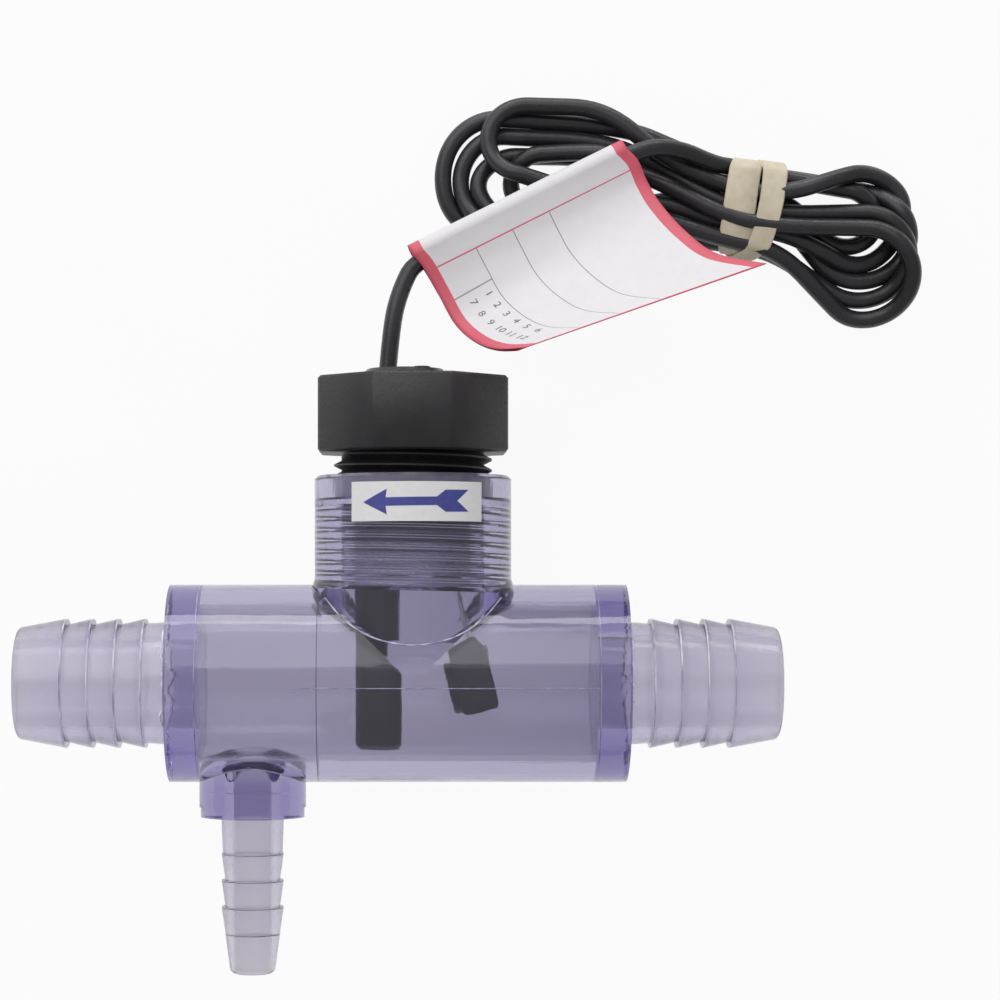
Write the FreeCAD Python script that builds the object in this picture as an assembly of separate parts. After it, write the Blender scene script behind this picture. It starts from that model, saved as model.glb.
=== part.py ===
import FreeCAD
import Part

import math
import os

# Paddle flow switch for 3/4 in hose: a clear PVC tee with hose barbs, a black
# octagon plug that carries a reed switch in its stem, and a hinged paddle with
# a magnet that the water swings towards the stem.
#
# Millimetres. The switch lies on its side on z = 0. X runs along the water
# path (inlet at +X, outlet at -X), Y along the branch (plug at +Y, drain barb
# at -Y) and Z straight up. X = 0 is midway between the two barb tips and
# Y = 0 midway between the drain tip and the top of the plug.

V = FreeCAD.Vector
X_AXIS, Y_AXIS, Z_AXIS = V(1, 0, 0), V(0, 1, 0), V(0, 0, 1)

# ---------------------------------------------------------------- run (tee)
run_r = 16.65              # outside radius of the run
chamber_r = 13.35          # bore of the run, 3/4 in pipe size
run_half = 38.35           # middle to the outer face of either end flange
flange_t = 5.1             # end flange of each big barb
pilot_len = 1.6            # spigot of a big barb inside the chamber
cement_gap = 0.04          # cement line between two clear pieces
weld = 0.01                # overlap of two forms that are fused
seam_x = -13.3             # where the outlet coupling butts against the tee

# ------------------------------------------------------------------- branch
branch_x = 2.53            # branch axis
branch_r = 16.6
branch_top = 34.9          # rim, above the run axis
branch_bore_r = 12.1       # smooth bore that the female thread is cut into
mouth_step = 1.35          # the counterbore at the rim is this much wider
mouth_depth = 3.8
rim_chamfer = 0.5
collar_swell = 0.55        # swelling at the branch's foot, to either side
collar_curve_r = 14.0      # its own curve, tighter than the branch, so that it fades out
collar_top = 16.0
collar_blend = 1.6

# ----------------------------------------------------------- hose barbs
barb_reach = 25.75         # outer flange face to the tip
barb_bore_r = 7.5
barb_crest_r = 10.87       # 3/4 in hose
barb_root_r = 9.9
barb_neck_r = 10.35
neck_step = 0.25           # undercut behind the first crest
barb_tip_r = 9.35
barb_first = 4.05          # flange face to the first crest
barb_pitch = 4.44
barb_count = 4
crest_land = 0.35
tip_round = 1.0

# ------------------------------------------------------------- drain branch
drain_x = -24.5
drain_boss_r = 9.0
drain_boss_bottom = 20.8   # below the run axis
drain_flange_r = 8.75
drain_flange_t = 1.65
drain_reach = 26.4         # flange face to the tip
drain_bore_r = 3.2
drain_crest_r = 5.2        # 3/8 in hose
drain_root_r = 4.62
drain_neck_r = 5.3
drain_tip_r = 3.75
drain_first = 6.1
drain_pitch = 4.5
drain_count = 4
drain_last_r = 4.6         # the crest nearest the tip is smaller
drain_pilot_r = 4.6
drain_pilot_len = 2.5

# --------------------------------------------------------------- plug head
head_flats = 31.75         # octagon, across flats
head_gap = 3.9             # rim of the branch to the head
head_height = 12.7
head_chamfer = 0.45
shank_bottom = 23.4
shank_clearance = 0.05
recess_r = 7.1             # cup in the head, filled with potting
recess_x = -1.35           # from the branch axis
recess_depth = 8.5
recess_clearance = 0.02
dome_rise = 1.45
dome_chamfer = 0.7
blob_r = 1.8               # lump of potting on the dome
blob_x = 1.5
blob_rise = 0.55

# --------------------------------------------------------------------- stem
stem_left = -9.65          # all from the branch axis
stem_right = -1.9
neck_right = -4.2
root_right = -2.3
stem_deep = 6.4            # size along Z
stem_corner = 2.2
root_bottom = 7.2          # above the run axis
shoulder_top = 4.6
shoulder_bottom = 1.2
stem_floor_gap = 2.25      # stem's end to the floor of the run
stem_end_round = 1.1
shoulder_steps = 4

# ---------------------------------------------------------- reed and wiring
reed_bore_r = 1.7
reed_bore_x = -6.9
reed_floor_t = 0.9         # stem left below the reed's bore
reed_x = -7.35             # glass axis, to one side of the bore
reed_r = 1.1
reed_end_chamfer = 0.6
reed_lift = 1.8            # floor of the bore to the glass
reed_len = 13.8
lead_r = 0.25
return_x = -5.9            # the lower lead comes back up beside the glass
return_drop = 0.75         # glass end to the start of the turn
blade_gap = 0.3            # overlapping contacts, clear of each other
blade_lap = 1.2
blade_half_w = 0.45
blade_t = 0.12
glass_wall = 0.25
glass_end_t = 0.75          # thick ends, fused round the leads
lead_end = 0.6             # round wire inside the glass, before the blade
blade_overlap = 0.3        # blade let into the round wire
joint_r = 0.58
joint_low, joint_high = 10.5, 13.0
lead_into_joint = 2.2
conductor_r = 0.5
conductor_jog = (0.6, 3.2) # over the cup's floor, from the joint's line to the jacket's
conductor_bend = 1.4
conductor_start = 0.05     # below the end of the jacket
cable_d = 3.0
cable_x = -4.56
jacket_depth = 4.2         # cable jacket buried in the potting
bias_x = (-4.95, -2.95)    # return magnet, in the wide part of the stem
bias_lift = 3.5            # over the stem's end
bias_len = 6.0
bias_deep = 4.0
bias_clearance = 0.05

# ------------------------------------------------------------------- paddle
pivot_x, pivot_y = 6.19, 17.6      # from the branch axis, above the run axis
paddle_tilt = 13.6                 # degrees from the branch axis at no flow
pin_r = 0.6
pin_running = 0.03                 # eye on the pin
pin_grip = 0.01                    # ears on the pin
arm_t = 0.3
arm_w = 5.0
arm_len = 19.0
ear_play = 0.15
ear_t = 1.7
ear_r = 1.75
stop_gap = 0.1
stop_t = 1.2
stop_low, stop_high = -0.6, 6.5    # along the arm, from the pivot
vane_left, vane_right = -3.2, 3.0  # either side of the pivot, across the arm
vane_w = 12.0
vane_peak = 10.6                   # pivot to the top of the vane
vane_shoulder = 11.6
vane_bottom = 22.7
vane_flat = 0.6                    # top of the vane, beyond the arm
vane_slope = 1.4                   # the vane's right shoulder is lower
vane_top_corner = 0.5
vane_corner = 1.0
magnet_r, magnet_t = 3.0, 2.6
magnet_drop = 18.0
magnet_clearance = 0.05
cap_r, cap_t = 4.4, 1.3
cap_chamfer = 0.35
rivet_drop = 13.2
rivet_r = 0.6
rivet_head_r, rivet_head_t = 1.1, 0.5
rivet_head_chamfer = 0.25
slot_clearance = 0.03

# -------------------------------------------------------------- arrow label
arrow_w, arrow_h, arrow_t = 23.0, 6.5, 0.12
arrow_mid_y = 30.15        # above the run axis
arrow_turn = 2.6           # degrees round the branch from straight up
arrow_gap = 0.02

# ---------------------------------------------- cable, hank, band and label
# the cable's route from the plug to the hank, chosen by hand
cable_route = [(-2.03, 50.85, 16.65), (-2.03, 57.6, 16.65), (-1.2, 63.9, 16.3), (2.65, 70.05, 15.2),
               (41.9, 89.8, 12.0), (49.6, 91.0, 9.0), (55.8, 88.9, 5.8)]
arc_share = 0.45           # of the shorter run, taken by each arc
hank_outline = [(7, 85), (12, 94), (24, 100), (38, 95.8), (56, 88), (72, 86.8), (86, 85.5),
                (90.6, 74), (88.5, 61.5), (80, 59.8), (66, 67.5), (52, 71.5), (34, 73), (14, 75)]
hank_h = 7.0
band_centre = (61.8, 79.4)
band_turn = -8.0           # degrees, along the strands
band_w = 8.6
band_t = 0.9
band_inner = (16.4, 5.8)   # across the strands, height
band_clearance = 0.05
tag_len = 38.0             # along the cable
tag_t = 0.25
tag_clearance = 0.4        # fold's inside to the cable
tag_front = [(0, 0), (9, 1.6), (18, 7.0), (25.5, 20.5)]   # away from the fold, up
tag_back = [(0, 0), (11, -1.0), (21, -1.4)]
tag_bend = 14.0
end_leads_from = (30.0, 75.5)      # on top of the hank
end_lead_gap = 0.05
end_lead_len = 14.0
end_lead_turns = (-112, -98)       # degrees
end_lead_spread = 1.3

# ---------------------------------------------------------- worked out once
mouth_r = branch_bore_r + mouth_step
collar_r = branch_r + collar_swell
head_bottom = branch_top + head_gap
head_top = head_bottom + head_height
stem_bottom = stem_floor_gap - chamber_r
tag_fold_r = cable_d / 2 + tag_clearance
reed_bore_floor = stem_bottom + reed_floor_t
reed_low = reed_bore_floor + reed_lift
reed_high = reed_low + reed_len
bias_y = (stem_bottom + bias_lift, stem_bottom + bias_lift + bias_len)
drain_tip = -drain_boss_bottom - cement_gap - drain_flange_t - drain_reach
plug_top = head_top + dome_rise + blob_rise
run_y = -(plug_top + drain_tip) / 2      # run axis in the frame
run_z = max(run_r, branch_r, head_flats / 2)
tee_end = run_half - flange_t - cement_gap
shank_r = branch_bore_r - shank_clearance
pivot = V(branch_x + pivot_x, run_y + pivot_y, run_z)


def at(x, y, z=0.0):
    """A point given from where the branch axis meets the run axis."""
    return V(branch_x + x, run_y + y, run_z + z)


def rounded(points, radii, closed=False):
    """Straight runs through the points, joined by tangent arcs of the given radii."""
    count = len(points)
    corners = range(count) if closed else range(1, count - 1)
    cuts = {}
    for i in corners:
        before = (points[i - 1] - points[i]).normalize()
        after = (points[(i + 1) % count] - points[i]).normalize()
        half = before.getAngle(after) / 2
        if radii[i] <= 0:
            continue
        reach = radii[i] / math.tan(half)
        towards = (before + after).normalize()
        middle = points[i] + towards * (radii[i] / math.sin(half) - radii[i])
        cuts[i] = (points[i] + before * reach, middle, points[i] + after * reach)
    edges = []
    for i in range(count if closed else count - 1):
        j = (i + 1) % count
        start = cuts[i][2] if i in cuts else points[i]
        end = cuts[j][0] if j in cuts else points[j]
        if start.distanceToPoint(end) > 1e-6:
            edges.append(Part.LineSegment(start, end).toShape())
        if j in cuts:
            edges.append(Part.Arc(*cuts[j]).toShape())
    return Part.Wire(Part.__sortEdges__(edges))


def cord_radii(points):
    """The radius of each bend: as large as its two runs allow."""
    radii = [0.0] * len(points)
    for i in range(1, len(points) - 1):
        into, out = points[i] - points[i - 1], points[i + 1] - points[i]
        shorter = min(into.Length, out.Length)
        radii[i] = arc_share * shorter / math.tan(into.getAngle(out) / 2)
    return radii


def cord(points, radius, radii=None):
    """A round cord along a route, as one solid."""
    path = rounded(points, radii or cord_radii(points))
    start = path.OrderedEdges[0]
    heading = start.tangentAt(start.FirstParameter)
    ring = Part.Wire(Part.makeCircle(radius, points[0], heading))
    return path, path.makePipeShell([ring], True, False)


def cylinder(radius, start, end):
    """A cylinder between two points."""
    return Part.makeCylinder(radius, start.distanceToPoint(end), start, end - start)


def block(x, y, z):
    """A box from pairs of low and high coordinates."""
    return Part.makeBox(x[1] - x[0], y[1] - y[0], z[1] - z[0], V(x[0], y[0], z[0]))


def fused(first, *others):
    """One clean solid from several."""
    return first.multiFuse(list(others)).removeSplitter()


def rounded_section(left, right, deep, corner, y):
    """A rounded rectangle across the stem at height y."""
    half = deep / 2
    corners = [at(left, y, -half), at(right, y, -half), at(right, y, half), at(left, y, half)]
    return rounded(corners, [corner] * 4, closed=True)


# ------------------------------------------------------------ clear plastic
def branch_outside():
    """The branch, with a swelling on both sides of its foot that fades out towards the floor."""
    solids = [cylinder(branch_r, at(0, 0), at(0, branch_top))]
    for side in (-1, 1):
        x = side * (collar_r - collar_curve_r)
        solids.append(cylinder(collar_curve_r, at(x, 0), at(x, collar_top)))
        fade_r = collar_curve_r - collar_swell
        solids.append(Part.makeCone(collar_curve_r, fade_r, collar_blend, at(x, collar_top), Y_AXIS))
    return fused(*solids)


def tee_body():
    shell = cylinder(run_r, V(seam_x + cement_gap / 2, run_y, run_z), V(tee_end, run_y, run_z))
    branch = branch_outside()
    rim = [e for e in branch.Edges if e.Closed and abs(e.BoundBox.YMin - run_y - branch_top) < 1e-6]
    body = fused(shell, branch.makeChamfer(rim_chamfer, rim[:1]))
    chamber = cylinder(chamber_r, V(-run_half, run_y, run_z), V(run_half, run_y, run_z))
    bore = cylinder(branch_bore_r, at(0, 0), at(0, branch_top + 1))
    mouth_floor = branch_top - mouth_depth
    mouth = cylinder(mouth_r, at(0, mouth_floor), at(0, branch_top + 1))
    lead_in = Part.makeCone(branch_bore_r, mouth_r, mouth_r - branch_bore_r,
                            at(0, mouth_floor - (mouth_r - branch_bore_r)), Y_AXIS)
    return body.cut(fused(chamber, bore, mouth, lead_in))


def outlet_coupling():
    low, high = V(-tee_end, run_y, run_z), V(seam_x - cement_gap / 2, run_y, run_z)
    boss_top = V(drain_x, run_y - chamber_r / 2, run_z)
    boss_end = V(drain_x, run_y - drain_boss_bottom, run_z)
    shell = fused(cylinder(run_r, low, high), cylinder(drain_boss_r, boss_top, boss_end))
    port = cylinder(drain_bore_r, V(drain_x, run_y, run_z), boss_end)
    socket_floor = boss_end + Y_AXIS * (drain_pilot_len + cement_gap)
    socket = cylinder(drain_pilot_r + cement_gap, socket_floor, boss_end)
    chamber = cylinder(chamber_r, low - X_AXIS, high + X_AXIS)
    branch_foot = cylinder(collar_r + cement_gap, at(0, 0), at(0, run_r))
    return shell.cut(fused(chamber, port, socket, branch_foot))


def hose_barb(flange_r, flange, pilot_r, pilot, bore, neck, crests, root, tip, first, pitch, reach):
    """A barb along +X whose flange starts at x = 0, revolved from its outline."""
    outline = [(-pilot, bore), (-pilot, pilot_r), (0, pilot_r), (0, flange_r), (flange, flange_r),
               (flange, neck)]
    for i, crest in enumerate(crests):
        x = flange + first + i * pitch
        outline += [(x, neck - neck_step if i == 0 else root), (x, crest), (x + crest_land, crest)]
    outline += [(flange + reach, tip), (flange + reach, bore)]
    radii = [0.0] * len(outline)
    radii[-2] = tip_round
    points = [V(x, 0, r) for x, r in outline]
    face = Part.Face(rounded(points, radii, closed=True))
    return face.revolve(V(0, 0, 0), X_AXIS, 360)


def big_barb(turn):
    """The 3/4 in barb at the inlet (turn 0) or the outlet (turn 180)."""
    barb = hose_barb(run_r, flange_t, chamber_r - cement_gap, pilot_len, barb_bore_r, barb_neck_r,
                     [barb_crest_r] * barb_count, barb_root_r, barb_tip_r, barb_first, barb_pitch, barb_reach)
    side = 1 if turn == 0 else -1
    barb.rotate(V(0, 0, 0), Z_AXIS, turn)
    barb.translate(V(side * (run_half - flange_t), run_y, run_z))
    return barb


def drain_barb():
    crests = [drain_crest_r] * (drain_count - 1) + [drain_last_r]
    barb = hose_barb(drain_flange_r, drain_flange_t, drain_pilot_r, drain_pilot_len, drain_bore_r,
                     drain_neck_r, crests, drain_root_r, drain_tip_r, drain_first, drain_pitch, drain_reach)
    barb.rotate(V(0, 0, 0), Z_AXIS, -90)
    barb.translate(V(drain_x, run_y - drain_boss_bottom - cement_gap, run_z))
    return barb


# --------------------------------------------------------------- black plug
def octagon_head():
    corner_r = head_flats / 2 / math.cos(math.pi / 8)
    corners = [at(corner_r * math.sin(a), head_bottom, corner_r * math.cos(a))
               for a in (math.pi / 8 + i * math.pi / 4 for i in range(8))]
    prism = Part.Face(Part.makePolygon(corners + corners[:1])).extrude(Y_AXIS * head_height)
    return prism.makeChamfer(head_chamfer, prism.Edges)


def stem():
    """The reed housing: a root, a neck and a wide end with a one-sided shoulder."""
    def prism(right, high, low):
        face = Part.Face(rounded_section(stem_left, right, stem_deep, stem_corner, high))
        return face.extrude(Y_AXIS * (low - high))

    sections = []
    for i in range(shoulder_steps + 1):
        t = i / shoulder_steps
        right = neck_right + (stem_right - neck_right) * t * t * (3 - 2 * t)
        y = shoulder_top + (shoulder_bottom - shoulder_top) * t
        sections.append(rounded_section(stem_left, right, stem_deep, stem_corner, y))
    shoulder = Part.makeLoft(sections, True, False)
    end = prism(stem_right, shoulder_bottom, stem_bottom)
    foot = [e for e in end.Edges if e.BoundBox.YMax < run_y + stem_bottom + 0.01]
    end = end.makeFillet(stem_end_round, foot)
    root = prism(root_right, shank_bottom + 1, root_bottom)
    neck = prism(neck_right, root_bottom, shoulder_top)
    return fused(root, neck, shoulder, end)


def hinge_ears():
    """Two ears for the pin, and the stop that the arm leans on at no flow."""
    inner = arm_w / 2 + ear_play
    ears = []
    for side in (-1, 1):
        low = min(side * inner, side * (inner + ear_t))
        lug = Part.makeCylinder(ear_r, ear_t, pivot + Z_AXIS * low, Z_AXIS)
        wall = block((pivot.x - ear_r, pivot.x + ear_r), (pivot.y, run_y + shank_bottom + 1),
                     (pivot.z + low, pivot.z + low + ear_t))
        ears += [lug, wall]
    near = pin_r + pin_running + arm_t + stop_gap
    stop = block((near, near + stop_t), (stop_low, stop_high), (-inner - weld, inner + weld))
    stop.rotate(V(0, 0, 0), Z_AXIS, paddle_tilt)
    stop.translate(pivot)
    above = cylinder(branch_bore_r, at(0, shank_bottom + 1), at(0, head_top))
    return [s.cut(above) for s in ears + [stop]]


def switch_plug():
    shank = cylinder(shank_r, at(0, shank_bottom), at(0, head_bottom + 1))
    body = fused(octagon_head(), shank, stem(), *hinge_ears())
    recess = cylinder(recess_r, at(recess_x, head_top - recess_depth), at(recess_x, head_top + 1))
    reed_bore = cylinder(reed_bore_r, at(reed_bore_x, reed_bore_floor), at(reed_bore_x, head_top))
    pocket = block((branch_x + reed_bore_x, branch_x + bias_x[1] + bias_clearance),
                   (run_y + bias_y[0] - bias_clearance, run_y + bias_y[1] + bias_clearance),
                   (run_z - bias_deep / 2 - bias_clearance, run_z + bias_deep / 2 + bias_clearance))
    pin_hole = cylinder(pin_r + pin_grip, pivot - Z_AXIS * 20, pivot + Z_AXIS * 20)
    return body.cut(fused(recess, reed_bore, pocket)).cut(pin_hole)


def hinge_pin():
    half = arm_w / 2 + ear_play + ear_t
    return cylinder(pin_r, pivot - Z_AXIS * half, pivot + Z_AXIS * half)


def bias_magnet():
    return block((branch_x + bias_x[0], branch_x + bias_x[1]), (run_y + bias_y[0], run_y + bias_y[1]),
                 (run_z - bias_deep / 2, run_z + bias_deep / 2))


# --------------------------------------------------------- reed and wiring
def reed_glass():
    """A sealed tube with tapered ends, open only where the leads pass."""
    outside = cylinder(reed_r, at(reed_x, reed_low), at(reed_x, reed_high))
    outside = outside.makeChamfer(reed_end_chamfer, [e for e in outside.Edges if e.Closed])
    hollow = (at(reed_x, reed_low + glass_end_t), at(reed_x, reed_high - glass_end_t))
    inside = cylinder(reed_r - glass_wall, *hollow)
    leads = cylinder(lead_r, at(reed_x, reed_low - 1), at(reed_x, reed_high + 1))
    return outside.cut(inside).cut(leads)


def blade(y_from, y_to, side):
    """The flattened end of a lead inside the glass."""
    z_low = side * blade_gap / 2 if side > 0 else -blade_gap / 2 - blade_t
    middle = branch_x + reed_x
    low, high = sorted((run_y + y_from, run_y + y_to))
    return block((middle - blade_half_w, middle + blade_half_w), (low, high),
                 (run_z + z_low, run_z + z_low + blade_t))


def reed_lead_upper():
    middle = (reed_low + reed_high) / 2
    root = reed_high - glass_end_t - lead_end
    wire = cylinder(lead_r, at(reed_x, root), at(reed_x, joint_low + lead_into_joint))
    return fused(wire, blade(root + blade_overlap, middle - blade_lap / 2, 1))


def reed_lead_lower():
    middle = (reed_low + reed_high) / 2
    root = reed_low + glass_end_t + lead_end
    turn_y = reed_low - return_drop
    bend = (return_x - reed_x) / 2
    route = [at(reed_x, root), at(reed_x, turn_y - bend), at(return_x, turn_y - bend),
             at(return_x, joint_low + lead_into_joint)]
    wire = cord(route, lead_r, [0, bend * 0.98, bend * 0.98, 0])[1]
    return fused(wire, blade(root - blade_overlap, middle + blade_lap / 2, -1))


def solder_joint(x):
    """The sleeve that joins a lead to its conductor."""
    sleeve = cylinder(joint_r, at(x, joint_low), at(x, joint_high))
    return sleeve.cut(cylinder(lead_r, at(x, joint_low - 1), at(x, joint_low + lead_into_joint)))


def conductor(x, jacket_x):
    """An insulated conductor from the cable jacket down to a joint."""
    top = head_top + dome_rise - jacket_depth - conductor_start
    low, high = (head_top - recess_depth + jog for jog in conductor_jog)
    route = [at(jacket_x, top), at(jacket_x, high), at(x, low), at(x, joint_high)]
    return cord(route, conductor_r, [0, conductor_bend, conductor_bend, 0])[1]


conductor_shift = (return_x - reed_x) / 2
conductors = [(reed_x, cable_x - conductor_shift), (return_x, cable_x + conductor_shift)]


def potting_compound(jacket):
    """The fill of the head's cup, domed, with the cable end set in it."""
    floor = head_top - recess_depth
    r = recess_r - recess_clearance
    fill = cylinder(r, at(recess_x, floor + recess_clearance), at(recess_x, head_top + dome_rise))
    top = [e for e in fill.Edges if e.Closed and e.BoundBox.YMin > run_y + head_top]
    fill = fill.makeChamfer(dome_chamfer, top)
    blob = cylinder(blob_r, at(blob_x, head_top), at(blob_x, plug_top))
    lump = [e for e in blob.Edges if e.Closed and e.BoundBox.YMin > run_y + head_top + 0.1]
    blob = blob.makeChamfer(blob_rise * 0.8, lump)
    return fused(fill, blob).cut(jacket).cut(Part.makeCompound([conductor(*c) for c in conductors]))


# ------------------------------------------------------------------- paddle
def on_paddle(shape):
    """From the arm's own axes (x across it, y up it, pivot at 0) to the rest pose."""
    shape.rotate(V(0, 0, 0), Z_AXIS, paddle_tilt)
    shape.translate(pivot)
    return shape


arm_near = pin_r + pin_running
arm_far = arm_near + arm_t


def paddle_arm():
    eye = cylinder(arm_far, V(0, 0, -arm_w / 2), V(0, 0, arm_w / 2))
    strip = block((arm_near, arm_far), (-arm_len, 0), (-arm_w / 2, arm_w / 2))
    hole = cylinder(pin_r + pin_running, V(0, 0, -arm_w), V(0, 0, arm_w))
    rivet = cylinder(rivet_r + slot_clearance, V(-5, -rivet_drop, 0), V(5, -rivet_drop, 0))
    return on_paddle(fused(eye, strip).cut(hole).cut(rivet))


def paddle_vane():
    """The moulded block that holds the magnet and meets the flow."""
    corners = [(vane_left, -vane_bottom), (vane_left, -vane_shoulder), (arm_near, -vane_peak),
               (arm_far + vane_flat, -vane_peak), (vane_right, -vane_shoulder - vane_slope),
               (vane_right, -vane_bottom)]
    radii = [vane_corner] + [vane_top_corner] * 4 + [vane_corner]
    outline = rounded([V(x, y, -vane_w / 2) for x, y in corners], radii, closed=True)
    body = Part.Face(outline).extrude(Z_AXIS * vane_w)
    slot = block((arm_near - slot_clearance, arm_far + slot_clearance), (-arm_len - slot_clearance, 0),
                 (-arm_w / 2 - slot_clearance, arm_w / 2 + slot_clearance))
    pocket_floor = V(vane_left + magnet_t + magnet_clearance, -magnet_drop, 0)
    pocket = cylinder(magnet_r + magnet_clearance, pocket_floor - X_AXIS * magnet_r * 2, pocket_floor)
    rivet = cylinder(rivet_r + slot_clearance, V(-5, -rivet_drop, 0), V(5, -rivet_drop, 0))
    return on_paddle(body.cut(fused(slot, pocket)).cut(rivet))


def paddle_magnet():
    outer = V(vane_left, -magnet_drop, 0)
    return on_paddle(cylinder(magnet_r, outer, outer + X_AXIS * magnet_t))


def magnet_cap():
    cap = cylinder(cap_r, V(vane_left - cap_t, -magnet_drop, 0), V(vane_left, -magnet_drop, 0))
    face = [e for e in cap.Edges if e.Closed and e.BoundBox.XMax < vane_left - cap_t / 2]
    return on_paddle(cap.makeChamfer(cap_chamfer, face))


def arm_rivet():
    shank = cylinder(rivet_r, V(vane_left, -rivet_drop, 0), V(vane_right, -rivet_drop, 0))
    head = cylinder(rivet_head_r, V(vane_right, -rivet_drop, 0), V(vane_right + rivet_head_t, -rivet_drop, 0))
    edge = [e for e in head.Edges if e.Closed and e.BoundBox.XMin > vane_right + rivet_head_t / 2]
    return on_paddle(fused(shank, head.makeChamfer(rivet_head_chamfer, edge)))


# ------------------------------------------------------------- arrow label
def flow_arrow_label():
    """A sticker wrapped round the upper side of the branch."""
    inner = branch_r + arrow_gap
    angle = math.degrees(arrow_w / inner)
    low = at(0, arrow_mid_y - arrow_h / 2)
    ring = Part.makeCylinder(inner + arrow_t, arrow_h, low, Y_AXIS).cut(
        Part.makeCylinder(inner, arrow_h, low, Y_AXIS))
    middle = math.radians(arrow_turn)
    sides = [middle - math.radians(angle / 2), middle + math.radians(angle / 2)]
    reach = 3 * branch_r
    wedge = [low] + [low + V(reach * math.sin(a), 0, reach * math.cos(a)) for a in sides]
    return ring.common(Part.Face(Part.makePolygon(wedge + wedge[:1])).extrude(Y_AXIS * arrow_h))


# ------------------------------------------------- cable, hank, band, label
def cable_lead():
    points = [V(*p) for p in cable_route]
    start = at(cable_x, head_top + dome_rise - jacket_depth)
    points[0] = V(start.x, start.y, run_z)
    radii = cord_radii(points)
    path, solid = cord(points, cable_d / 2)
    print("cable bends:", [round(r, 1) for r in radii[1:-1]])
    section = math.pi * cable_d ** 2 / 4
    print("cable length %.1f, volume share %.4f" % (path.Length, solid.Volume / section / path.Length))
    return solid


def band_place(shape):
    shape.rotate(V(0, 0, 0), Z_AXIS, band_turn)
    shape.translate(V(band_centre[0], band_centre[1], band_t))
    return shape


def racetrack(width, height, length, z_low):
    """A flat-sided tube section across the strands, length along X."""
    half = height / 2
    corners = [V(-length / 2, y, z) for y, z in ((-width / 2, z_low), (width / 2, z_low),
                                                 (width / 2, z_low + height), (-width / 2, z_low + height))]
    return Part.Face(rounded(corners, [half * 0.9] * 4, closed=True)).extrude(X_AXIS * length)


def rubber_band():
    across, high = band_inner
    outer = racetrack(across + 2 * band_t, high + 2 * band_t, band_w, -band_t)
    return band_place(outer.cut(racetrack(across, high, 2 * band_w, 0)))


def cable_hank():
    """The outer shape of the banded turns, pinched where the band goes round."""
    curve = Part.BSplineCurve()
    curve.interpolate([V(x, y, 0) for x, y in hank_outline], PeriodicFlag=True)
    body = Part.Face(Part.Wire(curve.toShape())).extrude(Z_AXIS * hank_h)
    across, high = band_inner
    c = band_clearance
    waist = racetrack(across - 2 * c, high - 2 * c, 2 * band_w, c)
    half = band_w / 2 + c
    collar = block((-half, half), (-across, across), (-hank_h, 2 * hank_h)).cut(waist)
    return body.cut(band_place(collar))


def rating_label():
    """A flag folded round the cable: its two leaves leave the fold one over the other."""
    low, high = V(*cable_route[3]), V(*cable_route[4])
    along = (high - low).normalize()
    middle = (low + high) * 0.5
    r = tag_fold_r + tag_t / 2
    front = [V(0, -n, r + z) for n, z in tag_front]
    back = [V(0, -n, -r + z) for n, z in tag_back]
    fold = [V(0, 0, r), V(0, r, 0), V(0, 0, -r)]
    edges = [rounded(front[::-1], [0, tag_bend, tag_bend, 0]), Part.Wire(Part.Arc(*fold).toShape()),
             rounded(back, [0, tag_bend, 0])]
    leaves = []
    for path in edges:
        first = path.OrderedEdges[0]
        start = first.valueAt(first.FirstParameter)
        heading = first.tangentAt(first.FirstParameter)
        side = heading.cross(X_AXIS).normalize() * (tag_t / 2)
        reach = X_AXIS * (tag_len / 2)
        corners = [start + side - reach, start + side + reach, start - side + reach, start - side - reach]
        leaves.append(path.makePipeShell([Part.makePolygon(corners + corners[:1])], True, False))
    tag = fused(*leaves)
    tag.rotate(V(0, 0, 0), Y_AXIS, -math.degrees(math.asin(along.z)))
    tag.rotate(V(0, 0, 0), Z_AXIS, math.degrees(math.atan2(along.y, along.x)))
    tag.translate(middle)
    return tag


def lead_ends():
    """The two stripped conductors at the free end of the cable."""
    wires = []
    for i, turn in enumerate(end_lead_turns):
        start = V(*end_leads_from, hank_h + conductor_r + end_lead_gap) + X_AXIS * (i * end_lead_spread)
        angle = math.radians(turn)
        wires.append(cylinder(conductor_r, start,
                              start + V(math.cos(angle), math.sin(angle), 0) * end_lead_len))
    return Part.makeCompound(wires)


lead = cable_lead()
nodes = {
    "tee_body": tee_body(),
    "outlet_coupling": outlet_coupling(),
    "inlet_barb": big_barb(0),
    "outlet_barb": big_barb(180),
    "drain_barb": drain_barb(),
    "switch_plug": switch_plug(),
    "potting_compound": potting_compound(lead),
    "reed_glass": reed_glass(),
    "reed_lead_upper": reed_lead_upper(),
    "reed_lead_lower": reed_lead_lower(),
    "solder_joint_a": solder_joint(reed_x),
    "solder_joint_b": solder_joint(return_x),
    "conductor_a": conductor(*conductors[0]),
    "conductor_b": conductor(*conductors[1]),
    "bias_magnet": bias_magnet(),
    "hinge_pin": hinge_pin(),
    "paddle_arm": paddle_arm(),
    "paddle_vane": paddle_vane(),
    "paddle_magnet": paddle_magnet(),
    "magnet_cap": magnet_cap(),
    "arm_rivet": arm_rivet(),
    "flow_arrow_label": flow_arrow_label(),
    "cable_lead": lead,
    "cable_hank": cable_hank(),
    "rubber_band": rubber_band(),
    "rating_label": rating_label(),
    "lead_ends": lead_ends(),
}

os.makedirs("parts", exist_ok=True)
for name, shape in nodes.items():
    box = shape.BoundBox
    print("%-18s solids %d valid %s volume %9.2f" % (name, len(shape.Solids), shape.isValid(), shape.Volume),
          "x %.1f..%.1f" % (box.XMin, box.XMax), "y %.1f..%.1f" % (box.YMin, box.YMax),
          "z %.2f..%.2f" % (box.ZMin, box.ZMax))
    shape.exportStep("parts/%s.step" % name)
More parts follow.
